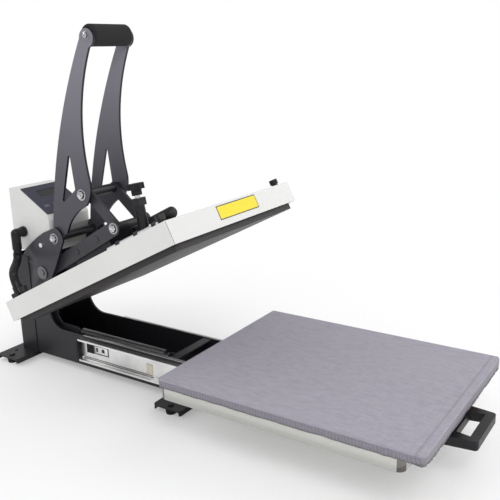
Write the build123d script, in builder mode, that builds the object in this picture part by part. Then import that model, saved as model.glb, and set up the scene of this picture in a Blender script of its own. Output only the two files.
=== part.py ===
"""Slide-out heat press, drawn with its table pulled out and its platen raised.

Millimetres. +X is the operator's right, -Y is the front, +Z is up. The origin lies on the bench
plane, midway between the front of the table's pull handle and the back of the rear foot bar.
"""
import os
from math import atan2, cos, degrees, hypot, pi, radians, sin

from build123d import *

os.makedirs("parts", exist_ok=True)

# Platens and table
PLATEN_WIDTH = 400.0
PLATEN_LENGTH = 500.0
TABLE_REAR = -13.0
TABLE_TOP = 125.0
TABLE_TRAVEL = 420.0
TRAY_HEIGHT = 26.0
TRAY_WALL = 2.0
TRAY_CORNER = 14.0
TRAY_NOTCH = 95.0
PAD_THICK = 13.0
CLOTH_THICK = 1.5
CLOTH_SKIRT = 18.0
CLOTH_CORNER = 16.0

# Upper platen
PLATEN_TILT = 26.72
RIM_REAR = (374.3072, 157.1846)
COVER_HEIGHT = 43.0
COVER_WALL = 1.5
COVER_CORNER = 3.0
HEATER_BELOW_RIM = 12.0
HEATER_THICK = 18.0
HEATER_INSET = 9.0
INSULATION_THICK = 16.0

# Base frame
FRAME_INSIDE = 120.0
PLATE_THICK = 5.0
PLATE_BOTTOM = 17.0
RAIL_TOP = 90.0
BASE_FRONT = -5.0
BASE_REAR = 521.0
TOWER_FRONT = 423.0
TOWER_REAR = 493.0
FOOT_HEIGHT = 13.0
FOOT_RADIUS = 12.0
BAR_THICK = 4.0
BAR_HALF_SPAN = 124.0
BAR_DEPTH = 68.0
BAR_LIP = 7.0
REAR_BAR_BACK = 548.0
FRONT_BAR_BACK = 70.0

# Pivots, as (y, z)
PIVOT_A = (381.0, 303.0)
PIVOT_B = (430.0, 218.0)
PIVOT_C = (291.0, 407.0)
PIVOT_D = (215.0, 342.0)
SHAFT_RADIUS = 9.0
BOLT_RADIUS = 5.0
RUNNING = 0.05
SIDE_GAP = 2.0
BODY_GAP = 0.5

# Toggle plates
ARM_THICK = 6.0
WASHER_RADIUS = 12.0
LEVER_WIDTH = 31.0
LINK_WIDTH = 24.0
GRIP_CENTRE = (241.0, 724.0)
GRIP_RADIUS = 21.5
GRIP_BAR_RADIUS = 8.0

# Telescopic slides
SLIDE_HEIGHT = 52.0
SLIDE_CENTRE = 58.0
SLIDE_DEPTH = 13.0
SLIDE_LENGTH = 330.0
SLIDE_REAR = 324.0
SLIDE_GAUGE = 1.5
BALL_GAP = 2.6
SLIDE_RUNNING = 0.3
WEB_GAP = 3.0

# Counterbalance spring
SPRING_RADIUS = 8.0
SPRING_WIRE = 1.1
SPRING_TURNS = 60
SPRING_X = -42.0
SPRING_Z = 85.0
SPRING_FRONT = 92.0
SPRING_BACK = 350.0

# Hose between the control housing and the heater
HOSE_RADIUS = 8.5
HOSE_WALL = 1.6
HOSE_RIB = 1.3
HOSE_RIBS = 30

TILT = radians(PLATEN_TILT)
PLATE_OUT = FRAME_INSIDE / 2 + PLATE_THICK
ARM_OUT = FRAME_INSIDE / 2 - SIDE_GAP
LEVER_OUT = ARM_OUT - ARM_THICK - SIDE_GAP
LINK_OUT = LEVER_OUT - ARM_THICK - SIDE_GAP
TABLE_FRONT = TABLE_REAR - PLATEN_LENGTH
TRAY_BOTTOM = TABLE_TOP - CLOTH_THICK - PAD_THICK - TRAY_HEIGHT
TRAY_TOP = TRAY_BOTTOM + TRAY_HEIGHT
SIDES = ((-1, "left"), (1, "right"))

RIM_FRONT = (RIM_REAR[0] - PLATEN_LENGTH * cos(TILT), RIM_REAR[1] + PLATEN_LENGTH * sin(TILT))

# The platen's own plane: local x across, y from its front rim backwards, z out of its top
PLATEN = Plane(
    origin=(0, RIM_FRONT[0], RIM_FRONT[1]),
    x_dir=(1, 0, 0),
    z_dir=(0, sin(TILT), cos(TILT)),
)


def in_platen(point):
    """Side-view place (y, z) as (distance from the front rim, height above the rim)."""
    dy, dz = point[0] - RIM_FRONT[0], point[1] - RIM_FRONT[1]
    return (dy * cos(TILT) - dz * sin(TILT), dy * sin(TILT) + dz * cos(TILT))


def side_plane(side, outer, thick):
    """Plane across X whose extrusion by thick fills outer - thick to outer on that side."""
    return Plane.YZ.offset(outer - thick if side > 0 else -outer)


def save(piece, name):
    """Label a finished piece and write it."""
    piece.part.label = name
    export_step(piece.part, f"parts/{name}.step")


def plate_with_ends(plane, thick, start, end, width, bore, ends=None):
    """Flat bar with round ends and a bore at each, its profile lying in the plane."""
    run = Vector(*end) - Vector(*start)
    middle = (Vector(*start) + Vector(*end)) / 2
    with BuildPart() as bar:
        with BuildSketch(plane):
            with Locations(Location((middle.X, middle.Y), degrees(atan2(run.Y, run.X)))):
                SlotCenterToCenter(run.length, width)
            with Locations(*(ends or (start, end))):
                Circle(bore, mode=Mode.SUBTRACT)
        extrude(amount=thick)
    return bar


def bolt_pair(places, outer, washer=WASHER_RADIUS, head=9.0, proud=8.0):
    """Hexagon heads on washers, one each side, standing on the faces at outer."""
    with BuildPart() as bolts:
        for side, _ in SIDES:
            face = Plane.YZ.offset(side * outer)
            for place in places:
                with BuildSketch(face):
                    with Locations(place):
                        Circle(washer)
                extrude(amount=side * 1.6)
                with BuildSketch(face.offset(side * 1.6)):
                    with Locations(place):
                        RegularPolygon(head, 6)
                extrude(amount=side * (proud - 1.6))
    return bolts


# Base side plates
for side, name in SIDES:
    plane = side_plane(side, PLATE_OUT, PLATE_THICK)
    ay, az = PIVOT_A
    with BuildPart() as side_plate:
        with BuildSketch(plane):
            with BuildLine():
                rail = Polyline(
                    (TOWER_FRONT - 43, RAIL_TOP),
                    (BASE_FRONT, RAIL_TOP),
                    (BASE_FRONT, PLATE_BOTTOM),
                    (BASE_REAR, PLATE_BOTTOM),
                    (TOWER_REAR, PLATE_BOTTOM + 130),
                    (TOWER_REAR, az - 53),
                )
                crown = Line(rail @ 1, (ay + 70, az - 2))
                cap = Line(crown @ 1, (ay + 12, az + 23))
                head = ThreePointArc(cap @ 1, (ay - 16, az + 20), (ay - 26, az - 3))
                nose = ThreePointArc(head @ 1, (ay - 3, az - 50), (TOWER_FRONT - 12, az - 106))
                neck = Line(nose @ 1, (TOWER_FRONT, RAIL_TOP + 60))
                Line(neck @ 1, (TOWER_FRONT, RAIL_TOP + 43))
                RadiusArc((TOWER_FRONT, RAIL_TOP + 43), rail @ 0, 43)
            make_face()
            with Locations(PIVOT_A, PIVOT_B):
                Circle(BOLT_RADIUS, mode=Mode.SUBTRACT)
        extrude(amount=PLATE_THICK)
    save(side_plate, f"side_plate_{name}")


# Foot bars: flat bars with turned-down edges, holed for the foot screws
BAR_TOP = FOOT_HEIGHT + BAR_THICK
BAR_BACKS = {"front": FRONT_BAR_BACK, "rear": REAR_BAR_BACK}
FOOT_X = BAR_HALF_SPAN - 14
FOOT_SCREW = 3.0
BENCH_X = FOOT_X - 22.0
BENCH_HOLE = 4.0
for name, back in BAR_BACKS.items():
    with BuildPart() as foot_bar:
        with BuildSketch(Plane.XY.offset(BAR_TOP)):
            with Locations((0, back - BAR_DEPTH / 2)):
                RectangleRounded(2 * BAR_HALF_SPAN, BAR_DEPTH, 6)
        extrude(amount=-BAR_THICK - BAR_LIP)
        with BuildSketch(Plane.XY.offset(FOOT_HEIGHT)):
            with Locations((0, back - BAR_DEPTH / 2)):
                Rectangle(2 * BAR_HALF_SPAN + 2, BAR_DEPTH - 2 * BAR_THICK)
        extrude(amount=-BAR_LIP, mode=Mode.SUBTRACT)
        with Locations(*[(side * FOOT_X, back - BAR_DEPTH / 2, BAR_TOP) for side, _ in SIDES]):
            Hole(FOOT_SCREW)
        with Locations(*[(side * BENCH_X, back - BAR_DEPTH / 3, BAR_TOP) for side, _ in SIDES]):
            Hole(BENCH_HOLE)
    save(foot_bar, f"{name}_foot_bar")

FOOT_PLACES = [
    (side * FOOT_X, back - BAR_DEPTH / 2) for back in BAR_BACKS.values() for side, _ in SIDES
]
with BuildPart() as rubber_feet:
    for place in FOOT_PLACES:
        with Locations((*place, FOOT_HEIGHT / 2)):
            Cone(FOOT_RADIUS - 2, FOOT_RADIUS, FOOT_HEIGHT)
        with Locations((*place, 0)):
            Cylinder(FOOT_SCREW + 3, 4, align=(Align.CENTER, Align.CENTER, Align.MIN), mode=Mode.SUBTRACT)
save(rubber_feet, "rubber_feet")

with BuildPart() as foot_screws:
    with BuildSketch(Plane.XY.offset(BAR_TOP)):
        with Locations(*FOOT_PLACES):
            Circle(6.5)
    extrude(amount=3.2)
    fillet(foot_screws.edges().group_by(Axis.Z)[-1], 1.6)
    with BuildSketch(Plane.XY.offset(BAR_TOP)):
        with Locations(*FOOT_PLACES):
            Circle(FOOT_SCREW - RUNNING)
    extrude(amount=-BAR_THICK)
save(foot_screws, "foot_screws")

# Trough floor, joining the two side plates along their lower edges
with BuildPart() as trough_floor:
    with BuildSketch(Plane.XZ.offset(-BASE_FRONT)):
        with BuildLine():
            tray_edge = Polyline(
                (-FRAME_INSIDE / 2, PLATE_BOTTOM + 14),
                (-FRAME_INSIDE / 2, PLATE_BOTTOM),
                (FRAME_INSIDE / 2, PLATE_BOTTOM),
                (FRAME_INSIDE / 2, PLATE_BOTTOM + 14),
            )
            offset(amount=2, side=Side.LEFT)
        make_face()
    extrude(amount=BASE_FRONT - BASE_REAR)
save(trough_floor, "trough_floor")

# Channel across the rails near the front, with the spring's anchor tab on its back
CHANNEL_FRONT = 57.0
CHANNEL_BACK = 77.0
ANCHOR_HOLE = 3.0
with BuildPart() as front_channel:
    with Locations((0, (CHANNEL_FRONT + CHANNEL_BACK) / 2, PLATE_BOTTOM + 2)):
        Box(
            FRAME_INSIDE - 4, CHANNEL_BACK - CHANNEL_FRONT, RAIL_TOP - PLATE_BOTTOM - 2,
            align=(Align.CENTER, Align.CENTER, Align.MIN),
        )
    with Locations((0, CHANNEL_FRONT - 2, PLATE_BOTTOM + 2)):
        Box(
            FRAME_INSIDE - 10, CHANNEL_BACK - CHANNEL_FRONT, RAIL_TOP - PLATE_BOTTOM - 5,
            align=(Align.CENTER, Align.MIN, Align.MIN), mode=Mode.SUBTRACT,
        )
    with BuildSketch(Plane.YZ.offset(SPRING_X - 1.5)):
        with Locations((CHANNEL_BACK + 5, SPRING_Z)):
            RectangleRounded(14, 14, 3)
            Circle(ANCHOR_HOLE, mode=Mode.SUBTRACT)
    extrude(amount=3)
save(front_channel, "front_channel")

# Tower back cover, folded sheet round the rear of the side plates
COVER_BACK = TOWER_REAR + 32
BACK_SHEET = 1.5
with BuildPart() as tower_cover:
    with BuildSketch(Plane.XY.offset(BAR_TOP)):
        with BuildLine():
            Polyline(
                (-PLATE_OUT, TOWER_REAR - 18),
                (-PLATE_OUT, COVER_BACK),
                (PLATE_OUT, COVER_BACK),
                (PLATE_OUT, TOWER_REAR - 18),
            )
            offset(amount=BACK_SHEET, side=Side.LEFT)
        make_face()
    extrude(amount=PIVOT_A[1] - 53 - BAR_TOP)
save(tower_cover, "tower_cover")

# Control housing between the tower plates: slanted panel over a front sheet
HOUSING_WIDTH = FRAME_INSIDE - 2
HOUSING_BACK = 522.0
HOUSING_TOP = 402.0
HOUSING_FRONT = 400.0
PANEL_TOP = (490.0, HOUSING_TOP)
PANEL_FOOT = (HOUSING_FRONT + 4, 351.0)
HOUSING_BASE = 262.0
HOUSING_SHEET = 1.5
PANEL_THICK = 2.0
with BuildPart() as control_housing:
    with BuildSketch(Plane.YZ.offset(-HOUSING_WIDTH / 2)):
        Polygon(
            (HOUSING_BACK, HOUSING_TOP), PANEL_TOP, PANEL_FOOT, (HOUSING_FRONT, 340),
            (HOUSING_FRONT, PIVOT_A[1] + 16), (PIVOT_A[0] + 30, PIVOT_A[1] - 14),
            (PIVOT_A[0] + 36, HOUSING_BASE), (HOUSING_BACK, HOUSING_BASE),
            align=None,
        )
    extrude(amount=HOUSING_WIDTH)
    shell_opening = control_housing.faces().sort_by(Axis.Z)[0]
    offset(amount=-HOUSING_SHEET, openings=shell_opening)
save(control_housing, "control_housing")

panel_run = Vector(PANEL_TOP[0] - PANEL_FOOT[0], PANEL_TOP[1] - PANEL_FOOT[1])
panel_plane = Plane(
    origin=(0, (PANEL_TOP[0] + PANEL_FOOT[0]) / 2, (PANEL_TOP[1] + PANEL_FOOT[1]) / 2),
    x_dir=(1, 0, 0),
    z_dir=(0, -panel_run.Y, panel_run.X),
)
with BuildPart() as control_panel:
    with BuildSketch(panel_plane):
        Rectangle(HOUSING_WIDTH - 8, panel_run.length - 4)
    extrude(amount=PANEL_THICK)
    with BuildSketch(panel_plane.offset(PANEL_THICK)):
        with Locations((0, 20)):
            Rectangle(52, 22)
        with Locations((-36, -22), (-12, -22), (12, -22), (36, -22)):
            RectangleRounded(16, 11, 3)
    extrude(amount=-0.6, mode=Mode.SUBTRACT)
save(control_panel, "control_panel")

# Handle shaft and lever shaft, each fixed between the side plates
for name, place, radius in (("handle_shaft", PIVOT_A, SHAFT_RADIUS), ("lever_shaft", PIVOT_B, 10.0)):
    with BuildPart() as shaft:
        with BuildSketch(Plane.YZ.offset(-FRAME_INSIDE / 2)):
            with Locations(place):
                Circle(radius)
        extrude(amount=FRAME_INSIDE)
        with BuildSketch(Plane.YZ.offset(-PLATE_OUT)):
            with Locations(place):
                Circle(BOLT_RADIUS - RUNNING)
        extrude(amount=2 * PLATE_OUT)
    save(shaft, name)

handle_shaft_bolts = bolt_pair([PIVOT_A], PLATE_OUT)
save(handle_shaft_bolts, "handle_shaft_bolts")

with BuildPart() as lever_shaft_caps:
    for side, _ in SIDES:
        with BuildSketch(Plane.YZ.offset(side * PLATE_OUT)):
            with Locations(PIVOT_B):
                Circle(15)
        extrude(amount=side * 2.5)
        with BuildSketch(Plane.YZ.offset(side * (PLATE_OUT + 2.5))):
            with Locations(PIVOT_B):
                Circle(7)
        extrude(amount=side * 2)
save(lever_shaft_caps, "lever_shaft_caps")

with BuildPart() as tower_screws:
    for side, _ in SIDES:
        with BuildSketch(Plane.YZ.offset(side * PLATE_OUT)):
            with Locations((PIVOT_A[0] + 44, PIVOT_A[1] - 20)):
                Circle(5)
        extrude(amount=side * 3)
save(tower_screws, "tower_screws")

# Telescopic slides: fixed, middle and table members, one set each side
def channel_member(side, outer, depth, height, front, back, lip):
    """Folded channel whose web stands inwards and whose lipped flanges point outwards."""
    web = Plane.XZ.offset(-front)
    with BuildPart() as member:
        with BuildSketch(web):
            with BuildLine():
                Polyline(
                    (side * outer, SLIDE_CENTRE + height / 2 - lip),
                    (side * outer, SLIDE_CENTRE + height / 2),
                    (side * (outer - depth), SLIDE_CENTRE + height / 2),
                    (side * (outer - depth), SLIDE_CENTRE - height / 2),
                    (side * outer, SLIDE_CENTRE - height / 2),
                    (side * outer, SLIDE_CENTRE - height / 2 + lip),
                )
                offset(amount=SLIDE_GAUGE, side=Side.LEFT if side > 0 else Side.RIGHT)
            make_face()
        extrude(amount=front - back)
    return member


MIDDLE_FRONT = SLIDE_REAR - SLIDE_LENGTH - TABLE_TRAVEL / 2
MIDDLE_BACK = SLIDE_REAR - TABLE_TRAVEL / 2
INNER_BACK = SLIDE_REAR - TABLE_TRAVEL
INNER_FRONT = INNER_BACK - SLIDE_LENGTH
MIDDLE_HEIGHT = SLIDE_HEIGHT - 2 * SLIDE_GAUGE - 2 * BALL_GAP
INNER_HEIGHT = MIDDLE_HEIGHT - 2 * SLIDE_GAUGE - 2 * BALL_GAP
for side, name in SIDES:
    fixed_member = channel_member(
        side, PLATE_OUT + SLIDE_DEPTH - BODY_GAP, SLIDE_DEPTH - BODY_GAP, SLIDE_HEIGHT,
        SLIDE_REAR - SLIDE_LENGTH, SLIDE_REAR, 4,
    )
    save(fixed_member, f"slide_fixed_{name}")
    middle_member = channel_member(
        side, PLATE_OUT + SLIDE_DEPTH - SLIDE_RUNNING, SLIDE_DEPTH - SLIDE_RUNNING - WEB_GAP, MIDDLE_HEIGHT,
        MIDDLE_FRONT, MIDDLE_BACK, 3,
    )
    save(middle_member, f"slide_middle_{name}")
    with BuildPart() as inner_member:
        with BuildSketch(side_plane(side, PLATE_OUT + SLIDE_DEPTH, 6)):
            with Locations(((INNER_FRONT + INNER_BACK) / 2, SLIDE_CENTRE)):
                Rectangle(SLIDE_LENGTH, INNER_HEIGHT)
        extrude(amount=6)
    save(inner_member, f"slide_inner_{name}")

# Stops on the side plates, just behind the ends of the fixed members
STOP_THICK = 5.0
with BuildPart() as slide_stops:
    for side, _ in SIDES:
        with BuildSketch(side_plane(side, PLATE_OUT + SLIDE_DEPTH - BODY_GAP, SLIDE_DEPTH - BODY_GAP)):
            with Locations((SLIDE_REAR + BODY_GAP + STOP_THICK / 2, SLIDE_CENTRE)):
                Rectangle(STOP_THICK, SLIDE_HEIGHT - 2 * SLIDE_GAUGE - 10)
        extrude(amount=SLIDE_DEPTH - BODY_GAP)
save(slide_stops, "slide_stops")

# Table: folded pan on two cross bearers, pad, cloth cover and pull handle
TRAY_CENTRE = (0, (TABLE_FRONT + TABLE_REAR) / 2)
with BuildPart() as table_pan:
    with BuildSketch(Plane.XY.offset(TRAY_BOTTOM)):
        with Locations(TRAY_CENTRE):
            RectangleRounded(PLATEN_WIDTH - 4, PLATEN_LENGTH - 4, TRAY_CORNER)
    extrude(amount=TRAY_HEIGHT)
    fillet(table_pan.edges().group_by(Axis.Z)[-1], 2)
    with BuildSketch(Plane.XY.offset(TRAY_BOTTOM)):
        with Locations(TRAY_CENTRE):
            RectangleRounded(
                PLATEN_WIDTH - 4 - 2 * TRAY_WALL, PLATEN_LENGTH - 4 - 2 * TRAY_WALL,
                TRAY_CORNER - TRAY_WALL,
            )
    extrude(amount=TRAY_HEIGHT - TRAY_WALL, mode=Mode.SUBTRACT)
    with Locations((0, TABLE_REAR - 2 - TRAY_WALL / 2, TRAY_BOTTOM)):
        Box(
            2 * TRAY_NOTCH, TRAY_WALL + 2, TRAY_HEIGHT - TRAY_WALL,
            align=(Align.CENTER, Align.CENTER, Align.MIN), mode=Mode.SUBTRACT,
        )
save(table_pan, "table_pan")

BEARER_X = PLATE_OUT + SLIDE_DEPTH
BEARER_THICK = 3.0
with BuildPart() as table_bearers:
    for place in (INNER_FRONT + 60, INNER_BACK - 60):
        with BuildSketch(Plane.XZ.offset(-place + 20)):
            with BuildLine():
                Polyline(
                    (-BEARER_X, SLIDE_CENTRE - 10),
                    (-BEARER_X, TRAY_TOP - TRAY_WALL - BEARER_THICK),
                    (BEARER_X, TRAY_TOP - TRAY_WALL - BEARER_THICK),
                    (BEARER_X, SLIDE_CENTRE - 10),
                )
                offset(amount=BEARER_THICK, side=Side.LEFT)
            make_face()
        extrude(amount=40)
save(table_bearers, "table_bearers")

with BuildPart() as silicone_pad:
    with BuildSketch(Plane.XY.offset(TRAY_TOP)):
        with Locations(TRAY_CENTRE):
            RectangleRounded(PLATEN_WIDTH - 6, PLATEN_LENGTH - 6, CLOTH_CORNER - 3)
    extrude(amount=PAD_THICK)
save(silicone_pad, "silicone_pad")

CLOTH_HALF = (PLATEN_WIDTH / 2 + 1.5, PLATEN_LENGTH / 2 + 1.5)
with BuildPart() as cloth_cover:
    with BuildSketch(Plane.XY.offset(TABLE_TOP - CLOTH_SKIRT)):
        with Locations(TRAY_CENTRE):
            RectangleRounded(2 * CLOTH_HALF[0], 2 * CLOTH_HALF[1], CLOTH_CORNER)
    extrude(amount=CLOTH_SKIRT)
    fillet(cloth_cover.edges().group_by(Axis.Z)[-1], 3)
    with BuildSketch(Plane.XY.offset(TABLE_TOP - CLOTH_SKIRT)):
        with Locations(TRAY_CENTRE):
            RectangleRounded(PLATEN_WIDTH - 3, PLATEN_LENGTH - 3, CLOTH_CORNER - 2)
    extrude(amount=CLOTH_SKIRT - CLOTH_THICK, mode=Mode.SUBTRACT)
save(cloth_cover, "cloth_cover")

PULL_FRONT = TABLE_FRONT - 35.0
PULL_HALF = 62.0
PULL_BAR = 15.0
PULL_TOP = TRAY_BOTTOM
with BuildPart() as pull_handle:
    with BuildSketch(Plane.XY.offset(PULL_TOP)):
        with BuildLine():
            outline = Polyline(
                (-PULL_HALF, TABLE_FRONT + 30), (-PULL_HALF + 8, PULL_FRONT),
                (PULL_HALF - 8, PULL_FRONT), (PULL_HALF, TABLE_FRONT + 30), close=True,
            )
        make_face()
        fillet(vertices().group_by(Axis.Y)[0], 7)
        with Locations((0, TABLE_FRONT - 7)):
            Trapezoid(2 * PULL_HALF - 40, 24, 80, mode=Mode.SUBTRACT)
    extrude(amount=-18)
    fillet(pull_handle.edges().group_by(Axis.Z)[0], 3)
    with BuildSketch(Plane.XY.offset(PULL_TOP)):
        with Locations((0, TABLE_FRONT + 20)):
            Rectangle(2 * PULL_HALF - 10, 16)
    extrude(amount=TRAY_HEIGHT - TRAY_WALL)
save(pull_handle, "pull_handle")

# Upper platen: white cover, insulation and heating plate, drawn in the platen's plane
PLATEN_MIDDLE = (0, PLATEN_LENGTH / 2)
PLATEN_UP = Axis(PLATEN.origin, PLATEN.z_dir)
with BuildPart() as platen_cover:
    with BuildSketch(PLATEN):
        with Locations(PLATEN_MIDDLE):
            RectangleRounded(PLATEN_WIDTH, PLATEN_LENGTH, COVER_CORNER)
    extrude(amount=COVER_HEIGHT)
    fillet(platen_cover.edges().group_by(PLATEN_UP)[-1], 1.5)
    with BuildSketch(PLATEN):
        with Locations(PLATEN_MIDDLE):
            RectangleRounded(PLATEN_WIDTH - 2 * COVER_WALL, PLATEN_LENGTH - 2 * COVER_WALL, 1.5)
    extrude(amount=COVER_HEIGHT - COVER_WALL, mode=Mode.SUBTRACT)
save(platen_cover, "platen_cover")

HEATER_TOP = HEATER_THICK - HEATER_BELOW_RIM
with BuildPart() as heating_plate:
    with BuildSketch(PLATEN.offset(-HEATER_BELOW_RIM)):
        with Locations(PLATEN_MIDDLE):
            RectangleRounded(PLATEN_WIDTH - 2 * HEATER_INSET, PLATEN_LENGTH - 2 * HEATER_INSET, 8)
    extrude(amount=HEATER_THICK)
save(heating_plate, "heating_plate")

with BuildPart() as insulation:
    with BuildSketch(PLATEN.offset(HEATER_TOP)):
        with Locations(PLATEN_MIDDLE):
            Rectangle(PLATEN_WIDTH - 2 * HEATER_INSET - 6, PLATEN_LENGTH - 2 * HEATER_INSET - 6)
    extrude(amount=INSULATION_THICK)
save(insulation, "insulation")

STANDOFF_X = 28.0
STANDOFF_FRONT = PLATEN_LENGTH - 310.0
STANDOFF_BACK = PLATEN_LENGTH - 80.0
STANDOFF_TOP = COVER_HEIGHT - COVER_WALL
with BuildPart() as heater_standoffs:
    with BuildSketch(PLATEN.offset(HEATER_TOP + INSULATION_THICK)):
        with Locations(*[(x, y) for x in (-STANDOFF_X, STANDOFF_X) for y in (STANDOFF_FRONT, STANDOFF_BACK)]):
            Circle(9)
    extrude(amount=STANDOFF_TOP - HEATER_TOP - INSULATION_THICK)
save(heater_standoffs, "heater_standoffs")

KNOB_INSET = (16.0, 22.0)
KNOB_RADIUS = 9.0
KNOB_HEIGHT = 15.0
with BuildPart() as cover_knobs:
    for x in (-PLATEN_WIDTH / 2 + KNOB_INSET[0], PLATEN_WIDTH / 2 - KNOB_INSET[0]):
        for y in (KNOB_INSET[1], PLATEN_LENGTH - KNOB_INSET[1] - 30):
            with BuildSketch(PLATEN.offset(COVER_HEIGHT)):
                with Locations((x, y)):
                    Circle(KNOB_RADIUS - 2.5)
            extrude(amount=KNOB_HEIGHT / 3)
            with BuildSketch(PLATEN.offset(COVER_HEIGHT + KNOB_HEIGHT / 3)):
                with Locations((x, y)):
                    RegularPolygon(KNOB_RADIUS, 10)
            extrude(amount=KNOB_HEIGHT * 2 / 3)
save(cover_knobs, "cover_knobs")

# Saddle on the cover that carries the lever arms and the pressure screw
B_S, B_H = in_platen(PIVOT_B)
D_S, D_H = in_platen(PIVOT_D)
WEB_OUT = LEVER_OUT - ARM_THICK - BODY_GAP
WEB_THICK = 4.0
WEB_FRONT = PLATEN_LENGTH - 188.0
WEB_BACK = PLATEN_LENGTH - 70.0
LEVER_SLOPE = (B_H - D_H) / (B_S - D_S)
LEVER_BOLTS = [(s, D_H + LEVER_SLOPE * (s - D_S)) for s in (WEB_FRONT + 22, WEB_BACK - 24)]
SADDLE_FRONT = PLATEN_LENGTH - 350.0
SADDLE_BACK = PLATEN_LENGTH - 60.0
with BuildPart() as saddle:
    with BuildSketch(PLATEN.offset(COVER_HEIGHT)):
        with Locations((0, (SADDLE_FRONT + SADDLE_BACK) / 2)):
            RectangleRounded(2 * WEB_OUT, SADDLE_BACK - SADDLE_FRONT, 6)
    extrude(amount=WEB_THICK)
    for side, _ in SIDES:
        with BuildSketch(PLATEN.offset(COVER_HEIGHT)):
            with Locations((side * (WEB_OUT - WEB_THICK / 2), (WEB_FRONT + WEB_BACK) / 2)):
                Rectangle(WEB_THICK, WEB_BACK - WEB_FRONT)
        extrude(amount=D_H + 8 - COVER_HEIGHT)
save(saddle, "saddle")


def world_yz(s, h):
    """Side-view place (y, z) of a point s behind the front rim and h above it."""
    point = PLATEN.origin + PLATEN.y_dir * s + PLATEN.z_dir * h
    return (point.Y, point.Z)


with BuildPart() as saddle_screws:
    for side, _ in SIDES:
        inner = side * WEB_OUT
        for s, h in LEVER_BOLTS:
            with BuildSketch(Plane.YZ.offset(inner)):
                with Locations(world_yz(s, h)):
                    Circle(9)
            extrude(amount=side * BODY_GAP)
            with BuildSketch(Plane.YZ.offset(side * LEVER_OUT)):
                with Locations(world_yz(s, h)):
                    RegularPolygon(6.5, 6)
            extrude(amount=side * 1.7)
save(saddle_screws, "saddle_screws")

for side, name in SIDES:
    lever_plane = side_plane(side, LEVER_OUT, ARM_THICK)
    lever = plate_with_ends(
        lever_plane, ARM_THICK, PIVOT_D, PIVOT_B, LEVER_WIDTH, 10 + RUNNING, ends=[PIVOT_B]
    )
    save(lever, f"lever_{name}")

lever_bolts = bolt_pair([PIVOT_D], LEVER_OUT, proud=6)
save(lever_bolts, "lever_bolts")

# Toggle links with the cross shaft between their front ends
for side, name in SIDES:
    link = plate_with_ends(
        side_plane(side, LINK_OUT, ARM_THICK), ARM_THICK, PIVOT_C, PIVOT_D,
        LINK_WIDTH, BOLT_RADIUS + RUNNING, ends=[PIVOT_C, PIVOT_D],
    )
    save(link, f"link_{name}")

with BuildPart() as link_shaft:
    with BuildSketch(Plane.YZ.offset(-LINK_OUT + ARM_THICK)):
        with Locations(PIVOT_D):
            Circle(10)
    extrude(amount=2 * (LINK_OUT - ARM_THICK))
    with BuildSketch(Plane.YZ.offset(-LINK_OUT - SIDE_GAP + BODY_GAP)):
        with Locations(PIVOT_D):
            Circle(BOLT_RADIUS)
    extrude(amount=2 * (LINK_OUT + SIDE_GAP - BODY_GAP))
save(link_shaft, "link_shaft")

# Handle: two arms, their shaft through the links, and the foam grip
for side, name in SIDES:
    gy, gz = GRIP_CENTRE
    ay, az = PIVOT_A
    cy, cz = PIVOT_C
    with BuildPart() as arm:
        with BuildSketch(side_plane(side, ARM_OUT, ARM_THICK)):
            with BuildLine():
                rear = ThreePointArc((gy + 19, gz - 5), (340, 535), (388, az + 21))
                Line(rear @ 1, (ay + 15, az))
                heel = ThreePointArc((ay + 15, az), (ay, az - 15), (ay - 15, az))
                throat = Line(heel @ 1, (ay - 35, az + 15))
                notch = ThreePointArc(throat @ 1, (cy + 29, cz - 49), (cy - 10, cz - 23))
                lobe = ThreePointArc(notch @ 1, (cy - 24, cz + 1), (cy - 25, cz + 30))
                front = ThreePointArc(lobe @ 1, (cy - 17, 570), (gy - 4, gz - 23))
                ThreePointArc(front @ 1, (gy - 2, gz + 13), rear @ 0)
            make_face()
            with BuildSketch(mode=Mode.SUBTRACT):
                Polygon((cy + 27, cz + 94), (cy + 62, cz - 26), (cy + 18, cz + 9), align=None)
                fillet(vertices(), 3.5)
            with Locations(PIVOT_A):
                Circle(SHAFT_RADIUS + RUNNING, mode=Mode.SUBTRACT)
            with Locations(PIVOT_C):
                Circle(BOLT_RADIUS, mode=Mode.SUBTRACT)
        extrude(amount=ARM_THICK)
    save(arm, f"handle_arm_{name}")

with BuildPart() as grip_tube:
    with BuildSketch(Plane.YZ.offset(-ARM_OUT + ARM_THICK)):
        with Locations(GRIP_CENTRE):
            Circle(GRIP_BAR_RADIUS)
            Circle(GRIP_BAR_RADIUS - 2, mode=Mode.SUBTRACT)
    extrude(amount=2 * (ARM_OUT - ARM_THICK))
save(grip_tube, "grip_tube")

with BuildPart() as foam_grip:
    with BuildSketch(Plane.YZ.offset(-ARM_OUT + ARM_THICK)):
        with Locations(GRIP_CENTRE):
            Circle(GRIP_RADIUS)
            Circle(GRIP_BAR_RADIUS, mode=Mode.SUBTRACT)
    extrude(amount=2 * (ARM_OUT - ARM_THICK))
    fillet(foam_grip.edges().filter_by(GeomType.CIRCLE).sort_by(lambda e: e.radius)[-2:], 4)
save(foam_grip, "foam_grip")

with BuildPart() as link_pivot_shaft:
    with BuildSketch(Plane.YZ.offset(-ARM_OUT)):
        with Locations(PIVOT_C):
            Circle(BOLT_RADIUS)
    extrude(amount=2 * ARM_OUT)
    with BuildSketch(Plane.YZ.offset(-LINK_OUT + ARM_THICK + BODY_GAP)):
        with Locations(PIVOT_C):
            Circle(10)
    extrude(amount=2 * (LINK_OUT - ARM_THICK - BODY_GAP))
    for side, _ in SIDES:
        with BuildSketch(Plane.YZ.offset(side * (LINK_OUT + BODY_GAP))):
            with Locations(PIVOT_C):
                Circle(10)
        extrude(amount=side * (ARM_OUT - ARM_THICK - LINK_OUT - BODY_GAP))
save(link_pivot_shaft, "link_pivot_shaft")

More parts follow.
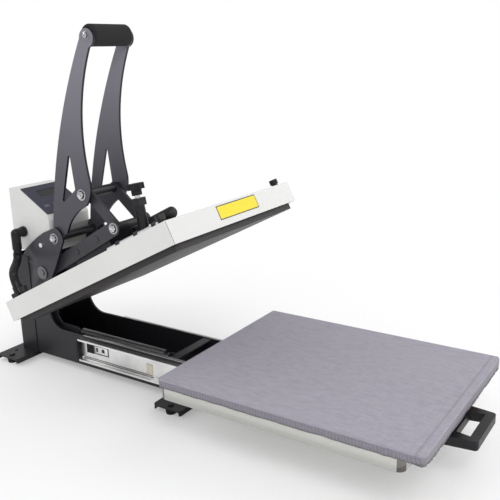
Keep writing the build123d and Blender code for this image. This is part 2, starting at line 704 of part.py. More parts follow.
handle_bolts = bolt_pair([PIVOT_C], ARM_OUT, proud=8)
save(handle_bolts, "handle_bolts")
grip_bolts = bolt_pair([GRIP_CENTRE], ARM_OUT, washer=8, head=6.5, proud=5)
save(grip_bolts, "grip_bolts")

# Pressure screw in its post on the saddle, leaning a little forward of the platen's normal
SCREW_FOOT = (PLATEN_LENGTH - 251.0, COVER_HEIGHT + WEB_THICK)
SCREW_HEAD = (SCREW_FOOT[0] - 29.0, 150.0)
SCREW_RADIUS = 6.0
POST_RADIUS = 11.0
KNOB_THICK = 13.0
PRESS_KNOB_RADIUS = 17.0
foot_y, foot_z = world_yz(*SCREW_FOOT)
head_y, head_z = world_yz(*SCREW_HEAD)
SCREW_LENGTH = hypot(head_y - foot_y, head_z - foot_z)
SCREW_DIR = (0, (head_y - foot_y) / SCREW_LENGTH, (head_z - foot_z) / SCREW_LENGTH)
SCREW = Plane(origin=(0, foot_y, foot_z), x_dir=(1, 0, 0), z_dir=SCREW_DIR)
POST_TOP = SCREW_LENGTH - 12
SCREW_BOTTOM = 18.0
with BuildPart() as screw_post:
    with BuildSketch(SCREW.offset(-8)):
        Circle(POST_RADIUS)
    extrude(amount=POST_TOP - 22 + 8)
    with BuildSketch(SCREW.offset(POST_TOP - 22)):
        RectangleRounded(2 * POST_RADIUS + 6, 2 * POST_RADIUS, 4)
    extrude(amount=16)
    with BuildSketch(SCREW.offset(SCREW_BOTTOM - 2)):
        Circle(SCREW_RADIUS + RUNNING)
    extrude(amount=SCREW_LENGTH, mode=Mode.SUBTRACT)
    with BuildSketch(PLATEN.offset(COVER_HEIGHT + WEB_THICK)):
        with Locations(PLATEN_MIDDLE):
            Rectangle(PLATEN_WIDTH, PLATEN_LENGTH)
    extrude(amount=-60, mode=Mode.SUBTRACT)
save(screw_post, "screw_post")

with BuildPart() as pressure_screw:
    with BuildSketch(SCREW.offset(SCREW_BOTTOM)):
        Circle(SCREW_RADIUS)
    extrude(amount=SCREW_LENGTH - SCREW_BOTTOM)
save(pressure_screw, "pressure_screw")

with BuildPart() as pressure_knob:
    with BuildSketch(SCREW.offset(POST_TOP)):
        Circle(POST_RADIUS)
    extrude(amount=12)
    with BuildSketch(SCREW.offset(SCREW_LENGTH)):
        Circle(PRESS_KNOB_RADIUS - 2.5)
        with PolarLocations(PRESS_KNOB_RADIUS - 3, 7):
            Circle(4.6)
    extrude(amount=KNOB_THICK)
    fillet(pressure_knob.faces().sort_by(Axis(SCREW.origin, SCREW.z_dir))[-1].edges(), 1.5)
    with BuildSketch(SCREW.offset(POST_TOP)):
        Circle(SCREW_RADIUS)
    extrude(amount=SCREW_LENGTH - POST_TOP, mode=Mode.SUBTRACT)
save(pressure_knob, "pressure_knob")

# Chrome tie rod along the cover, held by three black collars
ROD_X = -62.0
ROD_HEIGHT = COVER_HEIGHT + 16
ROD_FRONT = PLATEN_LENGTH - 372.0
ROD_BACK = PLATEN_LENGTH - 200.0
ROD_RADIUS = 4.0
COLLARS = (ROD_FRONT + 22.0, ROD_FRONT + 77.0, ROD_FRONT + 134.0)
ROD_FACE = Plane(
    origin=PLATEN.origin + PLATEN.y_dir * ROD_FRONT, x_dir=(1, 0, 0), z_dir=PLATEN.y_dir
)
with BuildPart() as tie_rod:
    with BuildSketch(ROD_FACE):
        with Locations((ROD_X, -ROD_HEIGHT)):
            Circle(ROD_RADIUS)
    extrude(amount=ROD_BACK - ROD_FRONT)
save(tie_rod, "tie_rod")
with BuildPart() as rod_collars:
    for place in COLLARS:
        with BuildSketch(ROD_FACE.offset(place - ROD_FRONT)):
            with Locations((ROD_X, -(ROD_HEIGHT + COVER_HEIGHT) / 2)):
                Rectangle(10, ROD_HEIGHT - COVER_HEIGHT)
            with Locations((ROD_X, -ROD_HEIGHT)):
                Circle(7)
                Circle(ROD_RADIUS, mode=Mode.SUBTRACT)
        extrude(amount=7)
save(rod_collars, "rod_collars")

# Round-ended rubber buffer lying along the saddle ahead of the screw
BUFFER_RADIUS = 12.5
BUFFER_X = 16.0
BUFFER_FRONT = PLATEN_LENGTH - 340.0
BUFFER_BACK = PLATEN_LENGTH - 274.0
BUFFER_HEIGHT = COVER_HEIGHT + WEB_THICK + BUFFER_RADIUS + 16
BUFFER_FACE = Plane(
    origin=PLATEN.origin + PLATEN.y_dir * BUFFER_BACK, x_dir=(-1, 0, 0),
    z_dir=-PLATEN.y_dir,
)
with BuildPart() as front_buffer:
    with BuildSketch(BUFFER_FACE):
        with Locations((-BUFFER_X, -BUFFER_HEIGHT)):
            Circle(BUFFER_RADIUS)
    extrude(amount=BUFFER_BACK - BUFFER_FRONT)
    fillet(front_buffer.edges().group_by(Axis(PLATEN.origin, PLATEN.y_dir))[0], 9)
    with BuildSketch(PLATEN.offset(COVER_HEIGHT + WEB_THICK)):
        with Locations((BUFFER_X, (BUFFER_FRONT + BUFFER_BACK) / 2 + 8)):
            RectangleRounded(14, 40, 3)
    extrude(amount=16 + BUFFER_RADIUS)
save(front_buffer, "front_buffer")

# Lever tail that the counterbalance spring pulls: down behind the table, then forward under it
TAIL_Z = SPRING_Z
TAIL_Y = SPRING_BACK + 9.3
TAIL_THICK = 4.0
TAIL_END = 9.0
by, bz = PIVOT_B
with BuildPart() as spring_tail:
    with BuildSketch(Plane.YZ.offset(SPRING_X - TAIL_THICK / 2)):
        with BuildLine():
            tail_back = Polyline(
                (by + 15, bz), (by + 11, TAIL_Z + 12), (by - 6, TAIL_Z - 6),
                (TAIL_Y, TAIL_Z - TAIL_END),
            )
            tail_end = ThreePointArc(
                tail_back @ 1, (TAIL_Y - TAIL_END, TAIL_Z), (TAIL_Y, TAIL_Z + TAIL_END)
            )
            tail_front = Polyline(
                tail_end @ 1, (by - 22, TAIL_Z + 11), (by - 11, TAIL_Z + 26), (by - 15, bz)
            )
            ThreePointArc(tail_front @ 1, (by, bz + 15), tail_back @ 0)
        make_face()
        with Locations(PIVOT_B):
            Circle(10 + RUNNING, mode=Mode.SUBTRACT)
        with Locations((TAIL_Y, TAIL_Z)):
            Circle(ANCHOR_HOLE, mode=Mode.SUBTRACT)
    extrude(amount=TAIL_THICK)
save(spring_tail, "spring_tail")

# Counterbalance spring: one unbroken wire of arc pairs, half a turn to each pair
SPRING_PITCH = (SPRING_BACK - SPRING_FRONT - 16) / SPRING_TURNS
COIL_START = SPRING_FRONT + 8


def coil_point(turn):
    """Place on the coil's centre line after a number of turns."""
    return Vector(
        SPRING_X + SPRING_RADIUS * cos(2 * pi * turn),
        COIL_START + SPRING_PITCH * turn,
        SPRING_Z + SPRING_RADIUS * sin(2 * pi * turn),
    )


def coil_heading(turn):
    """Unit direction of the wire there."""
    return Vector(
        -2 * pi * SPRING_RADIUS * sin(2 * pi * turn), SPRING_PITCH,
        2 * pi * SPRING_RADIUS * cos(2 * pi * turn),
    ).normalized()


def biarc(start, leaving, end, arriving):
    """Two arcs that join start to end smoothly, and the place where they meet."""
    chord = end - start
    both = leaving + arriving
    spread = 2 * (1 - leaving.dot(arriving))
    along = chord.dot(both)
    reach = (-along + (along**2 + spread * chord.dot(chord)) ** 0.5) / spread
    middle = (start + end + (leaving - arriving) * reach) / 2
    first = Edge.make_tangent_arc(start, leaving, middle)
    return [first, Edge.make_tangent_arc(middle, first % 1, end)]


coil_edges = []
for half in range(2 * SPRING_TURNS):
    coil_edges += biarc(
        coil_point(half / 2), coil_heading(half / 2),
        coil_point((half + 1) / 2), coil_heading((half + 1) / 2),
    )
front_tip = Vector(SPRING_X, SPRING_FRONT - 2.5, SPRING_Z)
back_tip = Vector(SPRING_X, SPRING_BACK, SPRING_Z)
front_lead = Vector(SPRING_X, SPRING_FRONT, SPRING_Z)
back_lead = Vector(SPRING_X, SPRING_BACK - 2.5, SPRING_Z)
forward = Vector(0, 1, 0)
coil_edges = (
    [Edge.make_line(front_tip, front_lead)]
    + biarc(front_lead, forward, coil_point(0), coil_heading(0))
    + coil_edges
    + biarc(coil_point(SPRING_TURNS), coil_heading(SPRING_TURNS), back_lead, forward)
    + [Edge.make_line(back_lead, back_tip)]
)
with BuildPart() as counter_spring:
    with BuildLine():
        add(Wire(coil_edges))
    with BuildSketch(Plane(origin=front_tip, z_dir=forward)):
        Circle(SPRING_WIRE)
    sweep()
save(counter_spring, "counter_spring")

samples = [coil_point(k / 24) for k in range(24 * 3)]
least = min((samples[0] - p).length for p in samples[12:])
print("coil pitch", round(SPRING_PITCH, 2), "least gap to itself", round(least - 2 * SPRING_WIRE, 2))
print("coil volume", round(counter_spring.part.volume), "length times section",
      round(sum(e.length for e in coil_edges) * pi * SPRING_WIRE**2))

# Conduit: elbow on the housing's side, ribbed hose, and its fitting on the platen cover
ELBOW_AT = (486.0, 306.0)
ELBOW_RADIUS = 10.5
ELBOW_REACH = 24.0
ELBOW_DROP = 36.0
ELBOW_X = -HOUSING_WIDTH / 2 - ELBOW_REACH
HOSE_TOP = Vector(ELBOW_X, ELBOW_AT[0], ELBOW_AT[1] - ELBOW_DROP)
FITTING_X = 24.0 - PLATEN_WIDTH / 2
FITTING_BACK = PLATEN_LENGTH - 26.0
FITTING_BASE = 10.0
FITTING_HEIGHT = 22.0
HOSE_END = (
    PLATEN.origin + Vector(FITTING_X, 0, 0) + PLATEN.y_dir * FITTING_BACK
    + PLATEN.z_dir * (COVER_HEIGHT + FITTING_HEIGHT)
)
with BuildPart() as conduit_elbow:
    for radius, reach in ((ELBOW_RADIUS + 1.5, 6), (ELBOW_RADIUS, ELBOW_REACH)):
        with BuildSketch(Plane.YZ.offset(-HOUSING_WIDTH / 2)):
            with Locations(ELBOW_AT):
                Circle(radius)
        extrude(amount=-reach)
    with Locations((ELBOW_X, *ELBOW_AT)):
        Sphere(ELBOW_RADIUS)
    with BuildSketch(Plane(origin=HOSE_TOP)):
        Circle(ELBOW_RADIUS)
    extrude(amount=ELBOW_DROP)
save(conduit_elbow, "conduit_elbow")

with BuildPart() as hose_fitting:
    with BuildSketch(PLATEN.offset(COVER_HEIGHT)):
        with Locations((FITTING_X, FITTING_BACK)):
            RectangleRounded(30, 24, 4)
    extrude(amount=FITTING_BASE)
    with BuildSketch(PLATEN.offset(COVER_HEIGHT + FITTING_BASE)):
        with Locations((FITTING_X, FITTING_BACK)):
            Circle(ELBOW_RADIUS)
    extrude(amount=FITTING_HEIGHT - FITTING_BASE)
save(hose_fitting, "hose_fitting")

HOSE_PULL = 150.0
hose_leaving = Vector(0, 0, -HOSE_PULL)
hose_arriving = PLATEN.z_dir * -HOSE_PULL
HOSE_SIDE = (HOSE_END - HOSE_TOP).cross(hose_leaving)


def hose_plane(t):
    """Section plane of the hose a share t of the way along its curve."""
    a, b, c, d = (1 + 2 * t) * (1 - t) ** 2, t * (1 - t) ** 2, t * t * (3 - 2 * t), t * t * (t - 1)
    place = HOSE_TOP * a + hose_leaving * b + HOSE_END * c + hose_arriving * d
    heading = (
        HOSE_TOP * (6 * t * t - 6 * t) + hose_leaving * (3 * t * t - 4 * t + 1)
        + HOSE_END * (6 * t - 6 * t * t) + hose_arriving * (3 * t * t - 2 * t)
    )
    return Plane(origin=place, x_dir=HOSE_SIDE, z_dir=heading)


HOSE_CUFF = 0.08
HOSE_PITCH = (1 - 2 * HOSE_CUFF) / HOSE_RIBS
RIB_SHAPE = ((0.0, 0.0), (0.18, HOSE_RIB), (0.5, HOSE_RIB), (0.68, 0.0))
hose_stations = [(0, 0)]
for rib in range(HOSE_RIBS):
    hose_stations += [(HOSE_CUFF + (rib + u) * HOSE_PITCH, rise) for u, rise in RIB_SHAPE]
hose_stations += [(1 - HOSE_CUFF, 0), (1, 0)]
with BuildPart() as conduit_hose:
    for t, rise in hose_stations:
        with BuildSketch(hose_plane(t)):
            Circle(HOSE_RADIUS - HOSE_RIB + rise)
    loft(ruled=True)
    for k in range(HOSE_RIBS + 1):
        with BuildSketch(hose_plane(k / HOSE_RIBS)):
            Circle(HOSE_RADIUS - HOSE_RIB - HOSE_WALL)
    loft(ruled=True, mode=Mode.SUBTRACT)
save(conduit_hose, "conduit_hose")

# Three-pin mains inlet in the housing's back
INLET_AT = (0.0, 318.0)
PIN_PLACES = ((-7.0, -2.0), (7.0, -2.0), (0.0, 3.0))
with BuildPart() as mains_inlet:
    with BuildSketch(Plane.XZ.offset(-HOUSING_BACK)):
        with Locations(INLET_AT):
            RectangleRounded(50, 28, 4)
    extrude(amount=-9)
    with BuildSketch(Plane.XZ.offset(-HOUSING_BACK - 9)):
        with Locations(INLET_AT):
            RectangleRounded(27, 19, 3)
    extrude(amount=7, mode=Mode.SUBTRACT)
    with BuildSketch(Plane.XZ.offset(-HOUSING_BACK - 2)):
        with Locations(*[(INLET_AT[0] + x, INLET_AT[1] + z) for x, z in PIN_PLACES]):
            Rectangle(2, 4)
    extrude(amount=-6)
save(mains_inlet, "mains_inlet")
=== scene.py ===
"""Dresses the slide-out heat press: finishes, cloth cover, hose, spring, small fittings and studio."""
import logging
from dataclasses import dataclass, field
from enum import Enum
from math import cos, pi, radians, sin, tau

import bmesh
import bpy
from mathutils import Matrix, Vector, noise


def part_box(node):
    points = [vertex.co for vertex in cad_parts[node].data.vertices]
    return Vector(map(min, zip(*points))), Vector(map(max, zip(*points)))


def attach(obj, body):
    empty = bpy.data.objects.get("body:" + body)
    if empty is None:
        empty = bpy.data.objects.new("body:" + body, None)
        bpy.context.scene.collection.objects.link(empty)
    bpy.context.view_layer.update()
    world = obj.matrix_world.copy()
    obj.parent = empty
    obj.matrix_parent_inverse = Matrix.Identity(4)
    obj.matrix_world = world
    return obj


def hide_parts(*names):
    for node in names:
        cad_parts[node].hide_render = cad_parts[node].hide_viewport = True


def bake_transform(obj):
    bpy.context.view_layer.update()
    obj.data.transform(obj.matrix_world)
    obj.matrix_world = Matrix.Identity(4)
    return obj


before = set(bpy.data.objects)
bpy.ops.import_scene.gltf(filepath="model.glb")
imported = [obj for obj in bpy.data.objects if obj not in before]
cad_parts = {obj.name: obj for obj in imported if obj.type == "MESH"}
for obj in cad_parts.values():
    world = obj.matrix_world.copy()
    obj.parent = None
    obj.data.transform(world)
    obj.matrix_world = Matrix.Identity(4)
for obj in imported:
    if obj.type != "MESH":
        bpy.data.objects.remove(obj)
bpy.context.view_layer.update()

LOG = logging.getLogger("heat_press")
Colour = tuple[float, float, float]
SHARP_EDGE = radians(35)
EVERY_SIDE = 0
MERGE = 1e-6
LEVEL = 1e-6


class Body(Enum):
    """Bodies of the press that a dressed piece can ride on."""

    BASE = "base"
    TABLE = "table"
    PLATEN = "platen"
    HANDLE = "handle"


# Shader maths

class Value:
    """A shader socket or a plain number that can be used in Python expressions."""

    def __init__(self, paper: "Paper", source: "bpy.types.NodeSocket | float") -> None:
        """Keep the socket or number together with the material it belongs to."""
        self.paper = paper
        self.source = source

    def _maths(self, operation: str, *others: "Value | float", clamp: bool = False) -> "Value":
        """Add one Math node.

        Args:
            operation: The Math node's operation.
            others: Its second and third inputs.
            clamp: Whether the result is held between 0 and 1.

        Returns:
            The node's result.
        """
        return self.paper.add("ShaderNodeMath", {"operation": operation, "use_clamp": clamp},
                              {i: v for i, v in enumerate((self, *others))})

    def __add__(self, other: "Value | float") -> "Value":
        """Sum."""
        return self._maths("ADD", other)

    def __radd__(self, other: float) -> "Value":
        """Sum with a number in front."""
        return self._maths("ADD", other)

    def __sub__(self, other: "Value | float") -> "Value":
        """Difference."""
        return self._maths("SUBTRACT", other)

    def __rsub__(self, other: float) -> "Value":
        """Difference with a number in front."""
        return Value(self.paper, other)._maths("SUBTRACT", self)

    def __mul__(self, other: "Value | float") -> "Value":
        """Product."""
        return self._maths("MULTIPLY", other)

    def __rmul__(self, other: float) -> "Value":
        """Product with a number in front."""
        return self._maths("MULTIPLY", other)

    def __gt__(self, other: "Value | float") -> "Value":
        """1 where this is the larger."""
        return self._maths("GREATER_THAN", other)

    def __abs__(self) -> "Value":
        """Size without sign."""
        return self._maths("ABSOLUTE")

    def sine(self) -> "Value":
        """Sine of this angle."""
        return self._maths("SINE")

    def held(self) -> "Value":
        """This value held between 0 and 1."""
        return self._maths("ADD", 0.0, clamp=True)

    def ramp(self, low: float, high: float) -> "Value":
        """Smooth step from 0 at low to 1 at high."""
        return self.paper.add(
            "ShaderNodeMapRange", {"interpolation_type": "SMOOTHSTEP"},
            {"Value": self, "From Min": low, "From Max": high}, "Result",
        )


class Paper:
    """One material with a Principled shader, and the single method that adds its nodes."""

    def __init__(self, name: str) -> None:
        """Start an empty material of this name."""
        self.material = bpy.data.materials.new(name)
        self.material.use_nodes = True
        self.tree = self.material.node_tree
        self.shader = self.tree.nodes["Principled BSDF"]

    def add(self, kind: str, settings: dict | None = None, inputs: dict | None = None,
            output: str | int = 0) -> Value:
        """Add a node, set it up and link its inputs.

        Args:
            kind: The node's type.
            settings: Its own properties, set first.
            inputs: Values or links, by socket name or number.
            output: The socket to return.

        Returns:
            The chosen output as a Value.
        """
        node = self.tree.nodes.new(kind)
        for key, value in (settings or {}).items():
            setattr(node, key, value)
        for key, value in (inputs or {}).items():
            self.link(node.inputs[key], value)
        return Value(self, node.outputs[output])

    def link(self, socket: "bpy.types.NodeSocket", value: object) -> None:
        """Feed a socket from a Value or set it to a plain number or colour."""
        source = value.source if isinstance(value, Value) else value
        if isinstance(source, bpy.types.NodeSocket):
            self.tree.links.new(source, socket)
        elif isinstance(source, tuple) and len(source) == 3 and socket.type == "RGBA":
            socket.default_value = (*source, 1.0)
        else:
            socket.default_value = source

    def place(self) -> Value:
        """Object coordinates, in metres."""
        return self.add("ShaderNodeTexCoord", {}, {}, "Object")

    def axis(self, vector: Value, name: str) -> Value:
        """One component of a vector."""
        return self.add("ShaderNodeSeparateXYZ", {}, {0: vector}, name)

    def grain(self, scale: float, detail: float = 3.0,
              stretch: tuple[float, float, float] = (1, 1, 1)) -> Value:
        """Noise between 0 and 1 in object space.

        Args:
            scale: Grains per metre.
            detail: Octaves.
            stretch: Scale of each axis.

        Returns:
            The noise value.
        """
        spread = self.add("ShaderNodeMapping", {}, {"Vector": self.place(), "Scale": stretch}, "Vector")
        return self.add("ShaderNodeTexNoise", {}, {"Vector": spread, "Scale": scale, "Detail": detail}, "Fac")

    def blend(self, share: Value | float, first: object, second: object) -> Value:
        """Mix two colours by share."""
        return self.add("ShaderNodeMix", {"data_type": "RGBA"}, {0: share, 6: first, 7: second}, 2)

    def bump(self, height: Value, depth: float, strength: float = 1.0) -> None:
        """Raise the surface by height times depth metres."""
        heights = {"Height": height, "Distance": depth, "Strength": strength}
        normal = self.add("ShaderNodeBump", {}, heights, "Normal")
        self.link(self.shader.inputs["Normal"], normal)

    def surface(self, **sockets: object) -> bpy.types.Material:
        """Set the shader's sockets and hand over the material."""
        for key, value in sockets.items():
            self.link(self.shader.inputs[key.replace("_", " ")], value)
        return self.material

    def fade_to_white(self, share: Value) -> None:
        """Mix the finished surface with plain white light by share."""
        glow = self.add("ShaderNodeEmission", {}, {"Color": (1.0, 1.0, 1.0), "Strength": 1.0}, "Emission")
        own = Value(self, self.shader.outputs["BSDF"])
        mixed = self.add("ShaderNodeMixShader", {}, {0: share, 1: own, 2: glow}, "Shader")
        self.link(self.tree.nodes["Material Output"].inputs["Surface"], mixed)


@dataclass(frozen=True)
class SheetPaint:
    """Powder coat on folded or cut sheet, with fine orange peel and faint handling marks, and where set,
    painted light that turns it lighter towards the top.
    """

    name: str
    colour: Colour
    edge_colour: Colour | None = None
    painted_light_colour: Colour | None = None
    painted_light_heights: tuple[float, float] = (0.34, 0.70)
    roughness: float = 0.38
    peel: float = 0.00004
    coat: float = 0.0
    cut_bands: tuple[tuple[float, float], ...] = ()

    def make(self) -> bpy.types.Material:
        """Build the paint; cut edges lie within the cut bands, between a plate's two faces in |x|."""
        paper = Paper(self.name)
        cloudy = paper.grain(9.0, 4.0)
        scuffs = paper.grain(60.0, 6.0, (1, 6, 1)).ramp(0.62, 0.78)
        dark = tuple(0.86 * c for c in self.colour)
        colour = paper.blend(cloudy, self.colour, dark)
        # Painted light: between the two heights the paint turns to a lighter colour, so the upper parts look
        # lit from above.
        if self.painted_light_colour:
            rise = paper.axis(paper.place(), "Z").ramp(*self.painted_light_heights)
            colour = paper.blend(rise, colour, self.painted_light_colour)
        if self.edge_colour:
            across = abs(paper.axis(paper.place(), "X"))
            cut = sum((across > near) - (across > far) for near, far in self.cut_bands)
            colour = paper.blend(cut, colour, self.edge_colour)
        paper.bump(paper.grain(900.0, 2.0), self.peel)
        return paper.surface(
            Base_Color=colour, Roughness=self.roughness + 0.07 * cloudy + 0.12 * scuffs,
            Coat_Weight=self.coat, Specular_IOR_Level=0.36,
        )


@dataclass(frozen=True)
class BareMetal:
    """Plated or bare metal, brushed along one axis."""

    name: str
    colour: Colour
    roughness: float
    brush: tuple[float, float, float] = (1, 1, 1)
    streaks: float = 0.1
    depth: float = 0.00001

    def make(self) -> bpy.types.Material:
        """Build the metal."""
        paper = Paper(self.name)
        lines = paper.grain(420.0, 3.0, self.brush)
        stain = paper.grain(14.0, 4.0)
        colour = paper.blend(stain.ramp(0.4, 0.75), self.colour, tuple(0.8 * c for c in self.colour))
        paper.bump(lines, self.depth)
        return paper.surface(Base_Color=colour, Metallic=1.0, Roughness=self.roughness + self.streaks * lines)


@dataclass(frozen=True)
class Moulded:
    """Moulded plastic or rubber with a fine grain."""

    name: str
    colour: Colour
    roughness: float
    grain: float = 1500.0
    depth: float = 0.00006
    dust: float = 0.03
    shine: float = 0.24

    def make(self) -> bpy.types.Material:
        """Build the moulded finish."""
        paper = Paper(self.name)
        fine = paper.grain(self.grain, 2.0)
        dusty = paper.grain(25.0, 5.0).ramp(0.5, 0.8)
        pale = tuple(min(1.0, c + self.dust) for c in self.colour)
        paper.bump(fine, self.depth)
        return paper.surface(
            Base_Color=paper.blend(dusty, self.colour, pale),
            Roughness=self.roughness + 0.08 * dusty - 0.05 * fine, Specular_IOR_Level=self.shine,
        )


@dataclass(frozen=True)
class CellFoam:
    """Closed-cell foam of the grip: pitted skin with painted shade in its pits, no shine."""

    name: str = "grip_foam"
    colour: Colour = (0.014, 0.014, 0.015)

    def make(self) -> bpy.types.Material:
        """Build the foam."""
        paper = Paper(self.name)
        cells = paper.add("ShaderNodeTexVoronoi", {}, {"Vector": paper.place(), "Scale": 700.0}, "Distance")
        pits = cells.ramp(0.1, 0.5)
        paper.bump(pits + 0.5 * paper.grain(200.0, 4.0), 0.0003, 0.7)
        # Painted shade: the pits are darkened to half the foam's colour for the shade inside them.
        return paper.surface(
            Base_Color=paper.blend(pits, tuple(0.5 * c for c in self.colour), self.colour),
            Roughness=0.88 + 0.08 * pits,
        )


@dataclass(frozen=True)
class WovenCloth:
    """Plain-woven cover cloth: warp and weft on the three axes, slub, soft changes of tone, and painted shade
    on the skirt, its gathers, the fold's crease, the hem and the front fold.
    """

    name: str = "cover_cloth"
    thread: float = 0.0011
    fold: float = 0.1215
    hem: float = 0.107
    rib: float = 0.0058
    shaded_front_fold: float = -0.499
    colour: Colour = (0.405, 0.382, 0.452)
    shade: Colour = (0.225, 0.208, 0.262)

    def make(self) -> bpy.types.Material:
        """Build the cloth."""
        paper = Paper(self.name)
        place = paper.place()
        turn = tau / (2 * self.thread)
        warp, weft, drop = ((paper.axis(place, name) * turn).sine() for name in "XYZ")
        weave = abs(warp * weft + 0.6 * drop * (warp - weft))
        slub = paper.grain(420.0, 3.0, (1, 0.12, 1)) * 0.5 + paper.grain(420.0, 3.0, (0.12, 1, 1)) * 0.5
        soft = paper.grain(7.0, 5.0)
        rubbed = paper.grain(130.0, 4.0, (1, 0.35, 1))
        thready = (0.45 * weave + 0.6 * slub + 0.5 * rubbed).ramp(0.3, 1.0)
        colour = paper.blend(thready, self.shade, self.colour)
        colour = paper.blend(soft.ramp(0.35, 0.8) * 0.22, colour, tuple(0.8 * c for c in self.colour))
        height = paper.axis(place, "Z")
        # Painted shade: the skirt below the fold is darkened for the shade on its sides.
        skirt = 1.0 - height.ramp(self.fold - 0.0035, self.fold)
        # Painted shade along the crease at the fold.
        crease = height.ramp(self.fold - 0.004, self.fold - 0.001) \
            * (1.0 - height.ramp(self.fold - 0.001, self.fold + 0.001))
        along = paper.axis(place, "X") + paper.axis(place, "Y") + 0.004 * paper.grain(40.0, 3.0)
        # The gathers are bumped, and also darkened in stripes as painted shade in their folds.
        ribs = skirt * (0.5 + 0.5 * (along * (tau / self.rib)).sine())
        # Painted shade: a band darker towards the lower edge of the skirt, at the hem.
        hem = skirt * (1.0 - height.ramp(self.hem, self.hem + 0.0035))
        # Painted shade: a thin dark line, also dented, at the fold near the front of the top.
        inward = abs(paper.axis(place, "Y") - self.shaded_front_fold) + 0.0012 * paper.grain(60.0, 2.0)
        shaded_front_fold = (1.0 - inward.ramp(0.0010, 0.0040)) * (1.0 - skirt)
        # All five masks are painted shade, mixed towards a darker copy of the cloth's colour.
        shaded = (0.42 * skirt + 0.22 * ribs + 0.25 * crease + 0.4 * hem + 0.26 * shaded_front_fold).held()
        colour = paper.blend(shaded, colour, tuple(0.30 * c for c in self.colour))
        paper.bump(weave * 0.6 + slub + 1.6 * ribs - 1.8 * shaded_front_fold, 0.00045, 0.8)
        return paper.surface(Base_Color=colour, Roughness=0.86 + 0.1 * thready, Sheen_Weight=0.25)


@dataclass(frozen=True)
class CoatedHeater:
    """Dark coated aluminium of the heating plate, slightly mottled by heat."""

    name: str = "heater_face"

    def make(self) -> bpy.types.Material:
        """Build the coated face."""
        paper = Paper(self.name)
        mottle = paper.grain(11.0, 5.0)
        paper.bump(paper.grain(260.0, 3.0), 0.00004)
        return paper.surface(
            Base_Color=paper.blend(mottle, (0.022, 0.02, 0.022), (0.05, 0.045, 0.048)),
            Metallic=0.35, Roughness=0.42 + 0.16 * mottle,
        )


@dataclass(frozen=True)
class GlossFilm:
    """Glossy printed film of the control panel and its display window."""

    name: str
    colour: Colour
    roughness: float = 0.16

    def make(self) -> bpy.types.Material:
        """Build the film."""
        paper = Paper(self.name)
        smear = paper.grain(30.0, 4.0, (1, 3, 1))
        paper.bump(paper.grain(500.0, 1.0), 0.00001)
        pale = tuple(c + 0.012 for c in self.colour)
        return paper.surface(Base_Color=paper.blend(smear, self.colour, pale),
                             Roughness=self.roughness + 0.1 * smear)


EDGE_BLACK = (0.008, 0.008, 0.009)
# The side plates carry painted light: their third colour is a lighter tone painted onto their upper parts.
PLATE_GREY = SheetPaint("plate_paint", (0.020, 0.020, 0.024), EDGE_BLACK,
                        (0.052, 0.051, 0.062), (0.08, 0.30), 0.36, cut_bands=((0.0603, 0.0647),))
FRAME_GREY = SheetPaint("frame_paint", (0.055, 0.055, 0.064), EDGE_BLACK, roughness=0.36,
                        cut_bands=((0.0363, 0.0417), (0.0443, 0.0497)))
# The handle arms carry painted light: their third colour is a lighter tone painted onto their upper parts.
ARM_GREY = SheetPaint("arm_paint", (0.078, 0.076, 0.093), EDGE_BLACK,
                      (0.205, 0.199, 0.232), (0.36, 0.70), 0.32, cut_bands=((0.0523, 0.0577),))
FOOT_BLACK = SheetPaint("foot_paint", (0.016, 0.016, 0.019), roughness=0.34)
COVER_WHITE = SheetPaint("cover_paint", (0.765, 0.768, 0.752), roughness=0.30, peel=0.00003, coat=0.15)
PAN_CREAM = SheetPaint("pan_paint", (0.60, 0.60, 0.565), roughness=0.33, peel=0.00003, coat=0.1)
BRIGHT_ZINC = BareMetal("bright_zinc", (0.93, 0.93, 0.92), 0.30, (1, 0.02, 1), 0.14, 0.00002)
# Painted reflection: dark metal on the pan's rounded corners stands in for the dark surroundings mirrored
# there.
PAN_CORNER_REFLECTION = BareMetal("pan_corner_reflection", (0.22, 0.205, 0.19), 0.16, (1, 1, 0.1), 0.1, 0.00001)
DULL_ZINC = BareMetal("dull_zinc", (0.20, 0.20, 0.21), 0.38, (1, 1, 1), 0.14, 0.00001)
CHROME = BareMetal("chrome_plate", (0.84, 0.84, 0.85), 0.09, (1, 1, 1), 0.06, 0.000004)
WASHER_ZINC = BareMetal("washer_zinc", (0.58, 0.58, 0.59), 0.24, (1, 1, 1), 0.1, 0.000006)
LOCK_STEEL = BareMetal("lock_steel", (0.035, 0.035, 0.038), 0.36, (1, 1, 1), 0.1, 0.000006)
BOLT_STEEL = BareMetal("bolt_steel", (0.66, 0.66, 0.67), 0.13, (1, 1, 1), 0.08, 0.000006)
SPRING_WIRE = BareMetal("spring_wire", (0.34, 0.34, 0.35), 0.26, (1, 1, 1), 0.12, 0.00001)
FOOT_RUBBER = Moulded("foot_rubber", (0.012, 0.012, 0.013), 0.72)
BUFFER_RUBBER = Moulded("buffer_rubber", (0.014, 0.014, 0.015), 0.5, 900.0)
KNOB_PLASTIC = Moulded("knob_plastic", (0.014, 0.014, 0.016), 0.42, dust=0.02)
HOSE_PLASTIC = Moulded("hose_plastic", (0.014, 0.014, 0.016), 0.36, 800.0, dust=0.02)
CREAM_PLASTIC = Moulded("cream_plastic", (0.66, 0.62, 0.50), 0.45)
PAD_SILICONE = Moulded("pad_silicone", (0.45, 0.16, 0.1), 0.6)
GLASS_FELT = Moulded("insulation_felt", (0.66, 0.64, 0.56), 0.95, 300.0, 0.0006)
PANEL_FILM = GlossFilm("panel_film", (0.014, 0.016, 0.036), 0.3)

